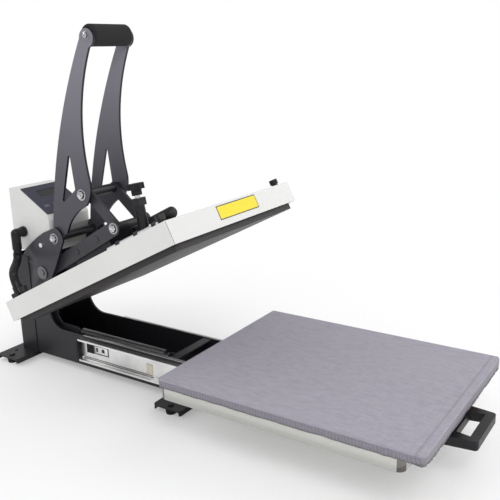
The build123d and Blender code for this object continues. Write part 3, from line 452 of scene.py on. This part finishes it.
NODE_FINISHES: dict[object, str] = {
    PLATE_GREY: "side_plate_left side_plate_right",
    FRAME_GREY: "lever_left lever_right link_left link_right spring_tail saddle_screws",
    ARM_GREY: "handle_arm_left handle_arm_right",
    FOOT_BLACK: "front_foot_bar rear_foot_bar trough_floor front_channel handle_shaft lever_shaft "
                "tower_cover link_pivot_shaft link_shaft saddle screw_post rod_collars table_bearers "
                "foot_screws",
    COVER_WHITE: "control_housing platen_cover heater_standoffs",
    PAN_CREAM: "table_pan",
    BRIGHT_ZINC: "slide_fixed_left slide_fixed_right slide_middle_left slide_middle_right slide_inner_left "
                 "slide_inner_right tower_screws grip_tube",
    DULL_ZINC: "lever_shaft_caps",
    CHROME: "pressure_screw tie_rod",
    BOLT_STEEL: "handle_shaft_bolts lever_bolts handle_bolts grip_bolts",
    FOOT_RUBBER: "rubber_feet slide_stops",
    BUFFER_RUBBER: "front_buffer",
    CellFoam(): "foam_grip",
    KNOB_PLASTIC: "cover_knobs pressure_knob pull_handle conduit_elbow hose_fitting mains_inlet",
    PAD_SILICONE: "silicone_pad",
    GLASS_FELT: "insulation",
    CoatedHeater(): "heating_plate",
    PANEL_FILM: "control_panel",
}


class Finishes:
    """Every finish of the press, each built once."""

    def __init__(self) -> None:
        """Start with no finish built."""
        self.built: dict[object, bpy.types.Material] = {}

    def of(self, finish: object) -> bpy.types.Material:
        """The material of a finish."""
        if finish not in self.built:
            self.built[finish] = finish.make()
        return self.built[finish]

    def dress_nodes(self) -> None:
        """Give each carried-over CAD node its finish."""
        for finish, names in NODE_FINISHES.items():
            for name in names.split():
                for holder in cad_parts[name].material_slots:
                    holder.material = self.of(finish)


def finished(name: str, shape: bmesh.types.BMesh, material: bpy.types.Material, body: Body,
             smooth: bool = True) -> bpy.types.Object:
    """Turn a bmesh into a finished piece that rides on a body.

    Args:
        name: The piece's name.
        shape: Its mesh, freed here.
        material: Its finish.
        body: The body that carries it.
        smooth: Whether its faces are shaded smooth.

    Returns:
        The piece.
    """
    bmesh.ops.recalc_face_normals(shape, faces=shape.faces)
    for face in shape.faces:
        face.smooth = smooth
    mesh = bpy.data.meshes.new(name)
    shape.to_mesh(mesh)
    shape.free()
    if smooth:
        mesh.set_sharp_from_angle(angle=SHARP_EDGE)
    mesh.materials.append(material)
    piece = bpy.data.objects.new(name, mesh)
    bpy.context.scene.collection.objects.link(piece)
    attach(piece, body.value)
    LOG.info("made %s on %s", name, body.value)
    return piece


@dataclass
class PlatenPlane:
    """The raised platen's own plane: across, back from its front rim, and out of its top."""

    tilt: float = radians(26.72)
    origin: Vector = field(default_factory=lambda: Vector((0, -0.0723, 0.382)))

    def matrix(self) -> Matrix:
        """Matrix from the platen's plane to the press."""
        back = Vector((0, cos(self.tilt), -sin(self.tilt)))
        up = Vector((0, sin(self.tilt), cos(self.tilt)))
        turn = Matrix((Vector((1, 0, 0)), back, up)).transposed().to_4x4()
        return Matrix.Translation(self.origin) @ turn


PLATEN_PLANE = PlatenPlane()


@dataclass
class ClothCover:
    """Fitted woven cover over the table's pad, with a gathered skirt and pulled corners."""

    node: str = "cloth_cover"
    step: float = 0.006
    corner: float = 0.007
    edge_round: float = 0.004
    thickness: float = 0.0009
    pucker: float = 0.0022
    crown: float = 0.0005
    front_drop: float = 1.33
    front_reach: float = 0.035
    pinch: float = 0.006
    pinch_reach: float = 0.03
    corner_reach: float = 0.09
    gather_pitch: float = 0.0105

    def mesh(self) -> bmesh.types.BMesh:
        """Rounded cap, finely divided, with puckers on the skirt and faint dents on top."""
        low, high = (Vector(corner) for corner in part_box(self.node))
        size, middle = high - low, (high + low) / 2
        shape = bmesh.new()
        bmesh.ops.create_cube(shape, size=1.0)
        bmesh.ops.scale(shape, vec=(size.x - 0.002, size.y - 0.002, size.z), verts=shape.verts)
        bmesh.ops.translate(shape, vec=middle, verts=shape.verts)
        upright = [e for e in shape.edges if abs(e.verts[0].co.z - e.verts[1].co.z) > 0.001]
        bmesh.ops.bevel(shape, geom=upright, offset=self.corner, segments=6, profile=0.5,
                        affect="EDGES", material=-1)
        floor = [f for f in shape.faces if f.normal.z < -0.5]
        bmesh.ops.delete(shape, geom=floor, context="FACES")
        brim = [e for e in shape.edges if all(v.co.z > high.z - LEVEL for v in e.verts)]
        bmesh.ops.bevel(shape, geom=brim, offset=self.edge_round, segments=3, profile=0.5,
                        affect="EDGES", material=-1)
        for axis, ends in ((0, (low.x, high.x)), (1, (low.y, high.y)), (2, (low.z, high.z))):
            count = max(3, round((ends[1] - ends[0]) / self.step))
            for k in range(1, count):
                place = Vector((0, 0, 0))
                place[axis] = ends[0] + (ends[1] - ends[0]) * k / count
                normal = Vector((0, 0, 0))
                normal[axis] = 1.0
                bmesh.ops.bisect_plane(shape, geom=shape.verts[:] + shape.edges[:] + shape.faces[:],
                                       dist=1e-5, plane_co=place, plane_no=normal)
        bmesh.ops.remove_doubles(shape, verts=shape.verts, dist=1e-5)
        self._settle(shape, low, high)
        return shape

    def _settle(self, shape: bmesh.types.BMesh, low: Vector, high: Vector) -> None:
        """Move the cloth's points: gathers that deepen towards the hem, dents and corner pulls."""
        middle = (low + high) / 2
        for vert in shape.verts:
            co = vert.co
            drop = min(1.0, max(0.0, (high.z - co.z) / (high.z - low.z)))
            out = Vector((co.x - middle.x, co.y - middle.y, 0))
            side = Vector((
                1.0 if abs(co.x) > high.x - self.corner else 0.0,
                1.0 if abs(co.y - middle.y) > (high.y - low.y) / 2 - self.corner else 0.0, 0,
            ))
            from_corner = (high.x - abs(co.x)) + (high.y - low.y) / 2 - abs(co.y - middle.y)
            near_corner = min(1.0, max(0.0, 1 - from_corner / self.corner_reach))
            run = co.x + co.y
            gather = noise.noise(Vector((co.x * 62, co.y * 62, 3.0 + co.z * 14)))
            fine = sin(run * tau / self.gather_pitch + 3.0 * noise.noise(Vector((co.x * 20, co.y * 20, 0))))
            depth = self.pucker * drop * (0.55 * gather + 0.28 * fine * (0.35 + near_corner))
            if side.length:
                outward = Vector((out.x * side.x, out.y * side.y, 0)).normalized()
                vert.co += outward * (depth - 0.0012 * drop)
            if drop < 0.02:
                dent = noise.noise(Vector((co.x * 7, co.y * 7, 1.0)))
                edge = min(high.x - abs(co.x), (high.y - low.y) / 2 - abs(co.y - middle.y))
                crease = noise.noise(Vector((co.x * 26, co.y * 26, 8.0)))
                vert.co.z += -self.crown + self.crown * dent * min(1.0, edge / 0.03) \
                    - 0.0007 * near_corner * abs(crease)
            pinched = max(0.0, 1 - Vector((co.x - low.x, co.y - low.y)).length / self.pinch_reach)
            if side.length and drop > 0.15:
                vert.co += Vector((1, 1, 0)).normalized() * self.pinch * pinched * drop
            if drop > 0.9:
                vert.co.z += 0.0011 * noise.noise(Vector((co.x * 30, co.y * 30, 5.0)))
            front = min(1.0, max(0.0, (low.y + self.front_reach - co.y) / self.front_reach))
            vert.co.z -= (high.z - vert.co.z) * (self.front_drop - 1.0) * front ** 1.5

    def make(self, finishes: Finishes) -> None:
        piece = finished("table_cover_cloth", self.mesh(), finishes.of(WovenCloth()), Body.TABLE)
        wall = piece.modifiers.new("cloth_thickness", "SOLIDIFY")
        wall.thickness = self.thickness
        wall.offset = -1.0
        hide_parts(self.node)


@dataclass
class HeaterHose:
    """Ribbed hose from the housing's elbow to the fitting on the platen cover."""

    node: str = "conduit_hose"
    start: Vector = field(default_factory=lambda: Vector((-0.083, 0.486, 0.270)))
    end: Vector = field(default_factory=lambda: Vector((-0.176, 0.38031, 0.226934)))
    pull: float = 0.15
    radius: float = 0.0091
    groove: float = 0.0021
    ribs: int = 30
    cuff: float = 0.08
    sides: int = 20

    def route(self) -> list[Vector]:
        """Points along the hose's line, read from its curve."""
        data = bpy.data.curves.new("hose_line", "CURVE")
        data.dimensions = "3D"
        data.resolution_u = 160
        line = data.splines.new("BEZIER")
        line.bezier_points.add(1)
        arriving = PLATEN_PLANE.matrix().to_3x3() @ Vector((0, 0, -1))
        headings = (Vector((0, 0, -1)), arriving)
        for point, place, heading in zip(line.bezier_points, (self.start, self.end), headings):
            point.co = place
            point.handle_left = place - heading * self.pull / 3
            point.handle_right = place + heading * self.pull / 3
        holder = bpy.data.objects.new("hose_line", data)
        mesh = bpy.data.meshes.new_from_object(holder)
        points = [v.co.copy() for v in mesh.vertices]
        bpy.data.objects.remove(holder)
        return points

    def mesh(self) -> bmesh.types.BMesh:
        """Rings bridged along the route, swelling at each rib."""
        points = self.route()
        steps = self.ribs * 6
        shape = bmesh.new()
        rings = []
        side = (self.end - self.start).cross(Vector((0, 0, -1)))
        for k in range(steps + 1):
            share = k / steps
            place = points[round(share * (len(points) - 1))]
            ahead = points[min(len(points) - 1, round(share * (len(points) - 1)) + 1)]
            behind = points[max(0, round(share * (len(points) - 1)) - 1)]
            heading = (ahead - behind).normalized()
            across = (side - heading * side.dot(heading)).normalized()
            turn = Matrix((across, heading.cross(across), heading)).transposed().to_4x4()
            plain = share < self.cuff or share > 1 - self.cuff
            swell = 1.0 if plain else (0.5 + 0.5 * cos(tau * (k % 6) / 6)) ** 0.6
            ring = bmesh.ops.create_circle(
                shape, segments=self.sides, radius=self.radius - self.groove * (1 - swell),
                matrix=Matrix.Translation(place) @ turn,
            )["verts"]
            rings.append(list({e for v in ring for e in v.link_edges}))
        for first, second in zip(rings, rings[1:]):
            bmesh.ops.bridge_loops(shape, edges=first + second)
        for ring in (rings[0], rings[-1]):
            bmesh.ops.holes_fill(shape, edges=ring, sides=EVERY_SIDE)
        return shape

    def make(self, finishes: Finishes) -> None:
        """Build the hose as one fixed curve from the base to the platen."""
        piece = finished("heater_hose", self.mesh(), finishes.of(HOSE_PLASTIC), Body.BASE)
        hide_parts(self.node)
        piece.parent = None
        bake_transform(piece)


@dataclass
class CounterSpring:
    """Counterbalance spring under the table, hooked between the cross channel and the lever's tail."""

    node: str = "counter_spring"
    turns: int = 60
    steps: int = 14
    wire: float = 0.0011
    sides: int = 8

    def mesh(self) -> bmesh.types.BMesh:
        """One wire spun along the spring's axis, with a straight lead to each hook."""
        low, high = (Vector(corner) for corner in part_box(self.node))
        axis = (low + high) / 2
        radius = (high.x - low.x) / 2 - self.wire
        front, back = low.y + 0.0105, high.y - 0.008
        shape = bmesh.new()
        begin = Vector((axis.x + radius, front, axis.z))
        turn = Matrix.Rotation(pi / 2, 4, "X")
        ring = bmesh.ops.create_circle(shape, segments=self.sides, radius=self.wire,
                                       matrix=Matrix.Translation(begin))["verts"]
        edges = list({e for v in ring for e in v.link_edges})
        count = self.turns * self.steps
        bmesh.ops.spin(shape, geom=ring + edges, cent=(axis.x, front, axis.z), axis=(0, 1, 0),
                       dvec=(0, (back - front) / count, 0), angle=tau * self.turns, steps=count)
        for place, reach in ((front, low.y), (back, high.y)):
            lead = bmesh.ops.create_circle(
                shape, segments=self.sides, radius=self.wire,
                matrix=Matrix.Translation((axis.x, reach, axis.z)) @ turn,
            )["verts"]
            rim = bmesh.ops.extrude_edge_only(shape, edges=list({e for v in lead for e in v.link_edges}))
            bent = [v for v in rim["geom"] if isinstance(v, bmesh.types.BMVert)]
            bmesh.ops.translate(shape, vec=(radius * 0.9, (place - reach) * 0.9, 0), verts=bent)
        return shape

    def make(self, finishes: Finishes) -> None:
        """Build the spring as one fixed coil between the base and the platen."""
        wire = finishes.of(SPRING_WIRE)
        piece = finished("counterbalance_coil", self.mesh(), wire, Body.BASE)
        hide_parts(self.node)
        piece.parent = None
        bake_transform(piece)


@dataclass
class PlainDecal:
    """Plain yellow decal with a thin black border on the front of the platen cover."""

    across: tuple[float, float] = (-0.060, 0.068)
    height: tuple[float, float] = (0.012, 0.039)
    border: float = 0.0018
    corner: float = 0.0015
    film: float = 0.0003

    def plate(self, inset: float, proud: float) -> bmesh.types.BMesh:
        """One thin rounded plate on the cover's front face."""
        width = self.across[1] - self.across[0] - 2 * inset
        tall = self.height[1] - self.height[0] - 2 * inset
        shape = bmesh.new()
        bmesh.ops.create_cube(shape, size=1.0)
        bmesh.ops.scale(shape, vec=(width, proud, tall), verts=shape.verts)
        upright = [e for e in shape.edges if abs(e.verts[0].co.y - e.verts[1].co.y) > 1e-6]
        bmesh.ops.bevel(shape, geom=upright, offset=self.corner, segments=3, profile=0.5,
                        affect="EDGES", material=-1)
        middle = (sum(self.across) / 2, -proud / 2, sum(self.height) / 2)
        bmesh.ops.translate(shape, vec=middle, verts=shape.verts)
        bmesh.ops.transform(shape, matrix=PLATEN_PLANE.matrix(), verts=shape.verts)
        return shape

    def make(self, finishes: Finishes) -> None:
        """Lay the yellow face over its black border."""
        black = finishes.of(GlossFilm("decal_border", (0.012, 0.012, 0.012), 0.35))
        yellow = finishes.of(GlossFilm("decal_yellow", (0.86, 0.70, 0.008), 0.42))
        for name, inset, proud, film in (("decal_border", 0.0, self.film, black),
                                         ("decal_face", self.border, self.film * 1.6, yellow)):
            finished(name, self.plate(inset, proud), film, Body.PLATEN, False)


@dataclass
class PanelKeys:
    """Display window and four blank membrane keys on the slanted control panel."""

    top: Vector = field(default_factory=lambda: Vector((0, 0.490, 0.402)))
    foot: Vector = field(default_factory=lambda: Vector((0, 0.404, 0.351)))
    sheet: float = 0.002
    edge: float = 0.0004
    keys: tuple[float, ...] = (-0.036, -0.012, 0.012, 0.036)

    def pad(self, across: float, along: float, width: float, length: float,
            proud: float) -> bmesh.types.BMesh:
        """One rounded pad lying in the panel."""
        run = (self.top - self.foot).normalized()
        out = Vector((0, -run.z, run.y))
        turn = Matrix((Vector((1, 0, 0)), run, out)).transposed().to_4x4()
        middle = (self.top + self.foot) / 2 + out * (self.sheet - 0.0006)
        shape = bmesh.new()
        bmesh.ops.create_cube(shape, size=1.0)
        bmesh.ops.scale(shape, vec=(width, length, proud), verts=shape.verts)
        bmesh.ops.translate(shape, vec=(across, along, proud / 2), verts=shape.verts)
        bmesh.ops.bevel(shape, geom=shape.edges[:], offset=self.edge, segments=2, profile=0.5,
                        affect="EDGES", material=-1)
        bmesh.ops.transform(shape, matrix=Matrix.Translation(middle) @ turn, verts=shape.verts)
        return shape

    def make(self, finishes: Finishes) -> None:
        """Fill the panel's recesses."""
        glass = finishes.of(GlossFilm("display_window", (0.004, 0.004, 0.006), 0.06))
        pale = finishes.of(Moulded("key_film", (0.11, 0.115, 0.15), 0.4, dust=0.02))
        finished("display_window", self.pad(0, 0.020, 0.050, 0.020, 0.0005), glass,
                 Body.BASE, False)
        for number, across in enumerate(self.keys, 1):
            finished(f"membrane_key_{number}", self.pad(across, -0.022, 0.0145, 0.0095, 0.0007), pale,
                     Body.BASE, False)


@dataclass(frozen=True)
class BoltPlace:
    """Where a mirrored pair of bolts stands and how large it is, in metres."""

    node: str
    body: Body
    place: tuple[float, float]
    face: float
    washer: float = 0.012
    head: float = 0.009
    proud: float = 0.008


@dataclass
class HexBolts:
    """A mirrored pair of hexagon nuts on plain and lock washers, with turned thread ends."""

    at: BoltPlace
    plain: float = 0.0016
    lock: float = 0.0010
    rings: int = 3

    def _turned(self, shape: bmesh.types.BMesh, radius: float, ends: tuple[float, float], edge: float,
                segments: int, turn: Matrix) -> None:
        """Add a disc or prism between two heights and round its outer rim.

        Args:
            shape: The mesh that takes it.
            radius: Its radius, to the corners of a prism.
            ends: Its two heights.
            edge: Width of the rounding.
            segments: Its number of sides.
            turn: Matrix from the bolt's axis to the press.
        """
        depth = ends[1] - ends[0]
        made = bmesh.ops.create_cone(
            shape, cap_ends=True, segments=segments, radius1=radius, radius2=radius, depth=depth,
            matrix=Matrix.Translation((0, 0, sum(ends) / 2)),
        )["verts"]
        around = {e for v in made for e in v.link_edges}
        top = [e for e in around if all(v.co.z > ends[1] - LEVEL for v in e.verts)]
        rim = bmesh.ops.bevel(shape, geom=top, offset=edge, segments=2, profile=0.5,
                              affect="EDGES", material=-1)
        whole = {v for v in made if v.is_valid} | set(rim["verts"])
        bmesh.ops.transform(shape, matrix=turn, verts=list(whole))

    def stacks(self) -> dict[str, list[tuple[float, tuple[float, float], float, int]]]:
        """The discs and prisms of one bolt by layer, each as radius, ends, edge and sides."""
        at = self.at
        nut = self.plain + self.lock
        cap = nut + 0.70 * (at.proud - nut)
        step = (at.proud - cap) / self.rings
        thread = [(0.50 * at.head, (cap + k * step, cap + (k + 1) * step), 0.0003, 24)
                  for k in range(self.rings)]
        return {
            "washers": [(at.washer, (0.0, self.plain), 0.0004, 40)],
            "lock_washers": [(1.02 * at.head, (self.plain, nut), 0.0003, 36)],
            "nuts": [(0.94 * at.head, (nut, cap), 0.0011, 6), *thread],
        }

    def make(self, finishes: Finishes) -> None:
        """Build the pair in place of its plain node."""
        at = self.at
        metals = {"washers": WASHER_ZINC, "lock_washers": LOCK_STEEL, "nuts": BOLT_STEEL}
        for layer, stack in self.stacks().items():
            shape = bmesh.new()
            for side in (-1, 1):
                spot = Matrix.Translation((side * at.face, *at.place))
                turn = spot @ Matrix.Rotation(side * pi / 2, 4, "Y")
                for radius, ends, edge, segments in stack:
                    self._turned(shape, radius, ends, edge, segments, turn)
            piece = finished(f"{at.node}_{layer}", shape, finishes.of(metals[layer]), at.body)
            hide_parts(at.node)


BOLT_PLACES = (
    BoltPlace("handle_shaft_bolts", Body.BASE, (0.381, 0.303), 0.065),
    BoltPlace("lever_bolts", Body.PLATEN, (0.215, 0.342), 0.050, proud=0.006),
    BoltPlace("handle_bolts", Body.HANDLE, (0.291, 0.407), 0.058),
    BoltPlace("grip_bolts", Body.HANDLE, (0.241, 0.724), 0.058, 0.008, 0.0065, 0.005),
)


@dataclass
class TowerPlate:
    """Side plate with its crown rounded off behind the handle shaft."""

    side: str
    crown: tuple[tuple[float, float], ...] = (
        (0.3966, 0.3200), (0.4150, 0.3125), (0.4327, 0.3020), (0.4460, 0.2935), (0.4580, 0.2840),
        (0.4710, 0.2745), (0.4820, 0.2650), (0.4885, 0.2570), (0.4930, 0.2480),
    )

    def make(self, finishes: Finishes) -> None:
        """Cut the crown of a copy of the plate along its curve."""
        node = f"side_plate_{self.side}"
        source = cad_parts[node]
        shape = bmesh.new()
        shape.from_mesh(source.data)
        bmesh.ops.transform(shape, matrix=source.matrix_world, verts=shape.verts)
        bmesh.ops.remove_doubles(shape, verts=shape.verts, dist=MERGE)
        for (y0, z0), (y1, z1) in zip(self.crown, self.crown[1:]):
            bmesh.ops.bisect_plane(
                shape, geom=shape.verts[:] + shape.edges[:] + shape.faces[:], dist=MERGE,
                plane_co=(0, y0, z0), plane_no=Vector((0, z0 - z1, y1 - y0)).normalized(), clear_outer=True,
            )
            bmesh.ops.holes_fill(shape, edges=[e for e in shape.edges if e.is_boundary], sides=EVERY_SIDE)
        paint = finishes.of(PLATE_GREY)
        piece = finished(f"tower_plate_{self.side}", shape, paint, Body.BASE)
        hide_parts(node)


def slab(shape: bmesh.types.BMesh, low: Vector, high: Vector, edge: float) -> None:
    """Add a box between two corners, all its edges rounded."""
    made = bmesh.ops.create_cube(shape, size=1.0)["verts"]
    bmesh.ops.scale(shape, vec=high - low, verts=made)
    bmesh.ops.translate(shape, vec=(high + low) / 2, verts=made)
    around = list({e for v in made for e in v.link_edges})
    bmesh.ops.bevel(shape, geom=around, offset=edge, segments=2, profile=0.5, affect="EDGES", material=-1)


@dataclass
class SlideTrim:
    """Flat trim on the fixed slides: framed plate, latch, end pad, guide, tracks and rail strips."""

    web: float = 0.0665
    frame_box: tuple[float, float, float, float] = (0.242, 0.284, 0.054, 0.075)
    border: float = 0.0025
    track: float = 0.0011

    def strip(self, name: str, boxes: list[tuple[float, float, float, float]], rise: float,
              material: bpy.types.Material) -> None:
        """Lay the same thin plates on both webs.

        Args:
            name: The piece's name.
            boxes: Each plate's front-to-rear and low-to-high ends, as y0, y1, z0, z1.
            rise: How far the plates stand out of the web.
            material: Their finish.
        """
        shape = bmesh.new()
        for side in (-1, 1):
            ends = sorted((side * self.web, side * (self.web + rise)))
            for y0, y1, z0, z1 in boxes:
                slab(shape, Vector((ends[0], y0, z0)), Vector((ends[1], y1, z1)), 0.0001)
        finished(name, shape, material, Body.BASE)

    def _rail_strips(self, material: bpy.types.Material) -> None:
        """Lay a thin plated strip along the top of each rail."""
        shape = bmesh.new()
        for side in (-1, 1):
            ends = sorted((side * 0.0605, side * 0.0670))
            slab(shape, Vector((ends[0], -0.004, 0.0900)), Vector((ends[1], 0.316, 0.0916)), 0.0004)
        finished("rail_strips", shape, material, Body.BASE)

    def make(self, finishes: Finishes) -> None:
        """Build every plate of the trim."""
        black, zinc = finishes.of(KNOB_PLASTIC), finishes.of(BRIGHT_ZINC)
        y0, y1, z0, z1 = self.frame_box
        edge = self.border
        self.strip("slide_frame", [self.frame_box], 0.0004, black)
        self.strip("slide_plate", [(y0 + edge, y1 - edge, z0 + edge, z1 - edge)], 0.0007, zinc)
        self.strip("slide_latch", [(0.2536, 0.2616, 0.0612, 0.0692), (0.2735, 0.2785, 0.0600, 0.0700)],
                   0.0010, black)
        self.strip("slide_end_pad", [(0.286, 0.307, 0.053, 0.078)], 0.0011,
                   finishes.of(FOOT_RUBBER))
        self.strip("slide_guide", [(0.1165, 0.134, 0.042, 0.066)], 0.0011,
                   finishes.of(CREAM_PLASTIC))
        self._rail_strips(finishes.of(WASHER_ZINC))
        tracks = [(-0.005, 0.322, z, z + self.track) for z in (0.0365, 0.0405, 0.0758, 0.0792)]
        self.strip("slide_tracks", tracks, 0.0005, black)


@dataclass
class CoverSeams:
    """Open folded corners of the platen cover, seen as thin dark lines down its front edges."""

    corner: float = 0.003
    width: float = 0.0006
    reach: tuple[float, float] = (0.0008, 0.0415)

    def make(self, finishes: Finishes) -> None:
        """Lay one dark strip on each front corner."""
        low, high = self.reach
        inset = self.corner * (1 - sin(pi / 4))
        shape = bmesh.new()
        for side in (-1, 1):
            made = bmesh.ops.create_cube(shape, size=1.0)["verts"]
            bmesh.ops.scale(shape, vec=(self.width, 0.0003, high - low), verts=made)
            spot = Matrix.Translation((side * (0.2 - inset), inset, (low + high) / 2))
            turn = Matrix.Rotation(side * pi / 4, 4, "Z")
            bmesh.ops.transform(shape, matrix=PLATEN_PLANE.matrix() @ spot @ turn, verts=made)
        finished("cover_corner_seams", shape, finishes.of(KNOB_PLASTIC),
                 Body.PLATEN, False)


@dataclass
class TablePan:
    """Folded pan under the table's pad, its front set back beneath the overhanging cover."""

    node: str = "table_pan"
    set_back: float = 0.030
    corner: float = 0.014
    brim: float = 0.002
    wall: float = 0.002
    notch: float = 0.095

    def mesh(self) -> bmesh.types.BMesh:
        """Open-bottomed pan with round corners and a gap in its rear wall."""
        low, high = (Vector(corner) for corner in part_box(self.node))
        low.y += self.set_back
        shape = bmesh.new()
        made = bmesh.ops.create_cube(shape, size=1.0)["verts"]
        bmesh.ops.scale(shape, vec=high - low, verts=made)
        bmesh.ops.translate(shape, vec=(high + low) / 2, verts=made)
        upright = [e for e in shape.edges if abs(e.verts[0].co.z - e.verts[1].co.z) > 0.001]
        bmesh.ops.bevel(shape, geom=upright, offset=self.corner, segments=8, profile=0.5,
                        affect="EDGES", material=-1)
        floor = [f for f in shape.faces if f.normal.z < -0.5]
        bmesh.ops.delete(shape, geom=floor, context="FACES")
        rim = [e for e in shape.edges if all(v.co.z > high.z - LEVEL for v in e.verts)]
        bmesh.ops.bevel(shape, geom=rim, offset=self.brim, segments=3, profile=0.5,
                        affect="EDGES", material=-1)
        for side in (-1, 1):
            bmesh.ops.bisect_plane(shape, geom=shape.verts[:] + shape.edges[:] + shape.faces[:], dist=MERGE,
                                   plane_co=(side * self.notch, 0, 0), plane_no=(1, 0, 0))
        gap = [
            f for f in shape.faces
            if f.normal.y > 0.9 and abs(f.calc_center_median().x) < self.notch
        ]
        bmesh.ops.delete(shape, geom=gap, context="FACES")
        return shape

    def make(self, finishes: Finishes) -> None:
        """Build the pan in place of its plain node."""
        piece = finished("table_pan_folded", self.mesh(), finishes.of(PAN_CREAM), Body.TABLE)
        # Painted reflection: the rounded corner faces take the dark corner metal, for the dark reflection on
        # them.
        piece.data.materials.append(finishes.of(PAN_CORNER_REFLECTION))
        for face in piece.data.polygons:
            if min(abs(face.normal.x), abs(face.normal.y)) > 0.12 and abs(face.normal.z) < 0.3:
                face.material_index = 1
        sheet = piece.modifiers.new("sheet_thickness", "SOLIDIFY")
        sheet.thickness = self.wall
        sheet.offset = -1.0
        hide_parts(self.node)


@dataclass
class Studio:
    """Pale floor, soft lamps, white surround, and the camera of the photograph."""

    eye: Vector = field(default_factory=lambda: Vector((-1.07855, -0.80756, 0.68938)))
    yaw: float = radians(56.29)
    pitch: float = radians(15.71)
    roll: float = -0.0244
    focal: float = 711.49
    frame_width: float = 500.0
    ambient: float = 0.62

    def camera(self) -> None:
        """Place the camera as solved from the photograph."""
        ahead = Vector((sin(self.yaw) * cos(self.pitch), cos(self.yaw) * cos(self.pitch), -sin(self.pitch)))
        level = Vector((cos(self.yaw), -sin(self.yaw), 0))
        above = level.cross(ahead)
        right = level * cos(self.roll) + above * sin(self.roll)
        up = above * cos(self.roll) - level * sin(self.roll)
        data = bpy.data.cameras.new("photo_camera")
        data.sensor_fit = "HORIZONTAL"
        data.sensor_width = 36.0
        data.lens = data.sensor_width * self.focal / self.frame_width
        camera = bpy.data.objects.new("photo_camera", data)
        camera.matrix_world = Matrix.Translation(self.eye) @ Matrix((right, up, -ahead)).transposed().to_4x4()
        bpy.context.scene.collection.objects.link(camera)
        bpy.context.scene.camera = camera

    def lamp(self, name: str, place: tuple[float, float, float], size: float, power: float) -> None:
        """Hang one square lamp that faces the press."""
        data = bpy.data.lights.new(name, "AREA")
        data.shape = "SQUARE"
        data.size = size
        data.energy = power
        lamp = bpy.data.objects.new(name, data)
        lamp.location = place
        facing = Vector((0, -0.05, 0.2)) - Vector(place)
        lamp.rotation_euler = facing.to_track_quat("-Z", "Y").to_euler()
        bpy.context.scene.collection.objects.link(lamp)

    def surround(self) -> None:
        """White world: soft light on the press, plain white to the camera."""
        world = bpy.data.worlds.new("studio_world")
        world.use_nodes = True
        tree = world.node_tree
        shade = tree.nodes["Background"]
        shade.inputs["Color"].default_value = (1, 1, 1, 1)
        path = tree.nodes.new("ShaderNodeLightPath")
        level = tree.nodes.new("ShaderNodeMapRange")
        level.inputs["To Min"].default_value = self.ambient
        level.inputs["To Max"].default_value = 1.0
        tree.links.new(path.outputs["Is Camera Ray"], level.inputs["Value"])
        tree.links.new(level.outputs["Result"], shade.inputs["Strength"])
        bpy.context.scene.world = world

    def floor(self) -> None:
        """Lay the pale floor."""
        shape = bmesh.new()
        bmesh.ops.create_grid(shape, x_segments=1, y_segments=1, size=30.0)
        mesh = bpy.data.meshes.new("studio_floor")
        shape.to_mesh(mesh)
        shape.free()
        paper = Paper("studio_floor")
        away = paper.add("ShaderNodeVectorMath", {"operation": "LENGTH"}, {0: paper.place()}, "Value")
        mesh.materials.append(
            paper.surface(Base_Color=(0.95, 0.95, 0.955), Roughness=0.8, Specular_IOR_Level=0.1))
        seen = paper.add("ShaderNodeLightPath", {}, {}, "Is Camera Ray")
        paper.fade_to_white(seen * (0.30 + 0.70 * away.ramp(0.45, 1.05)))
        floor = bpy.data.objects.new("studio_floor", mesh)
        bpy.context.scene.collection.objects.link(floor)

    def make(self) -> None:
        """Set the whole studio up."""
        self.camera()
        self.floor()
        self.surround()
        self.lamp("key_lamp", (-1.6, -1.9, 2.4), 1.6, 42.0)
        self.lamp("fill_lamp", (1.9, -1.0, 1.7), 2.0, 18.0)
        self.lamp("back_lamp", (-0.9, 2.0, 2.0), 1.8, 16.0)
        bpy.context.scene.view_settings.view_transform = "Standard"


def main() -> None:
    """Build the studio and dress the press."""
    logging.basicConfig(level=logging.INFO)
    Studio().make()
    finishes = Finishes()
    finishes.dress_nodes()
    bolts = [HexBolts(place) for place in BOLT_PLACES]
    plates = [TowerPlate(side) for side in ("left", "right")]
    for assembly in (ClothCover(), TablePan(), HeaterHose(), CounterSpring(), PlainDecal(), PanelKeys(),
                     SlideTrim(), CoverSeams(), *bolts, *plates):
        assembly.make(finishes)


if __name__ == "__main__":
    main()
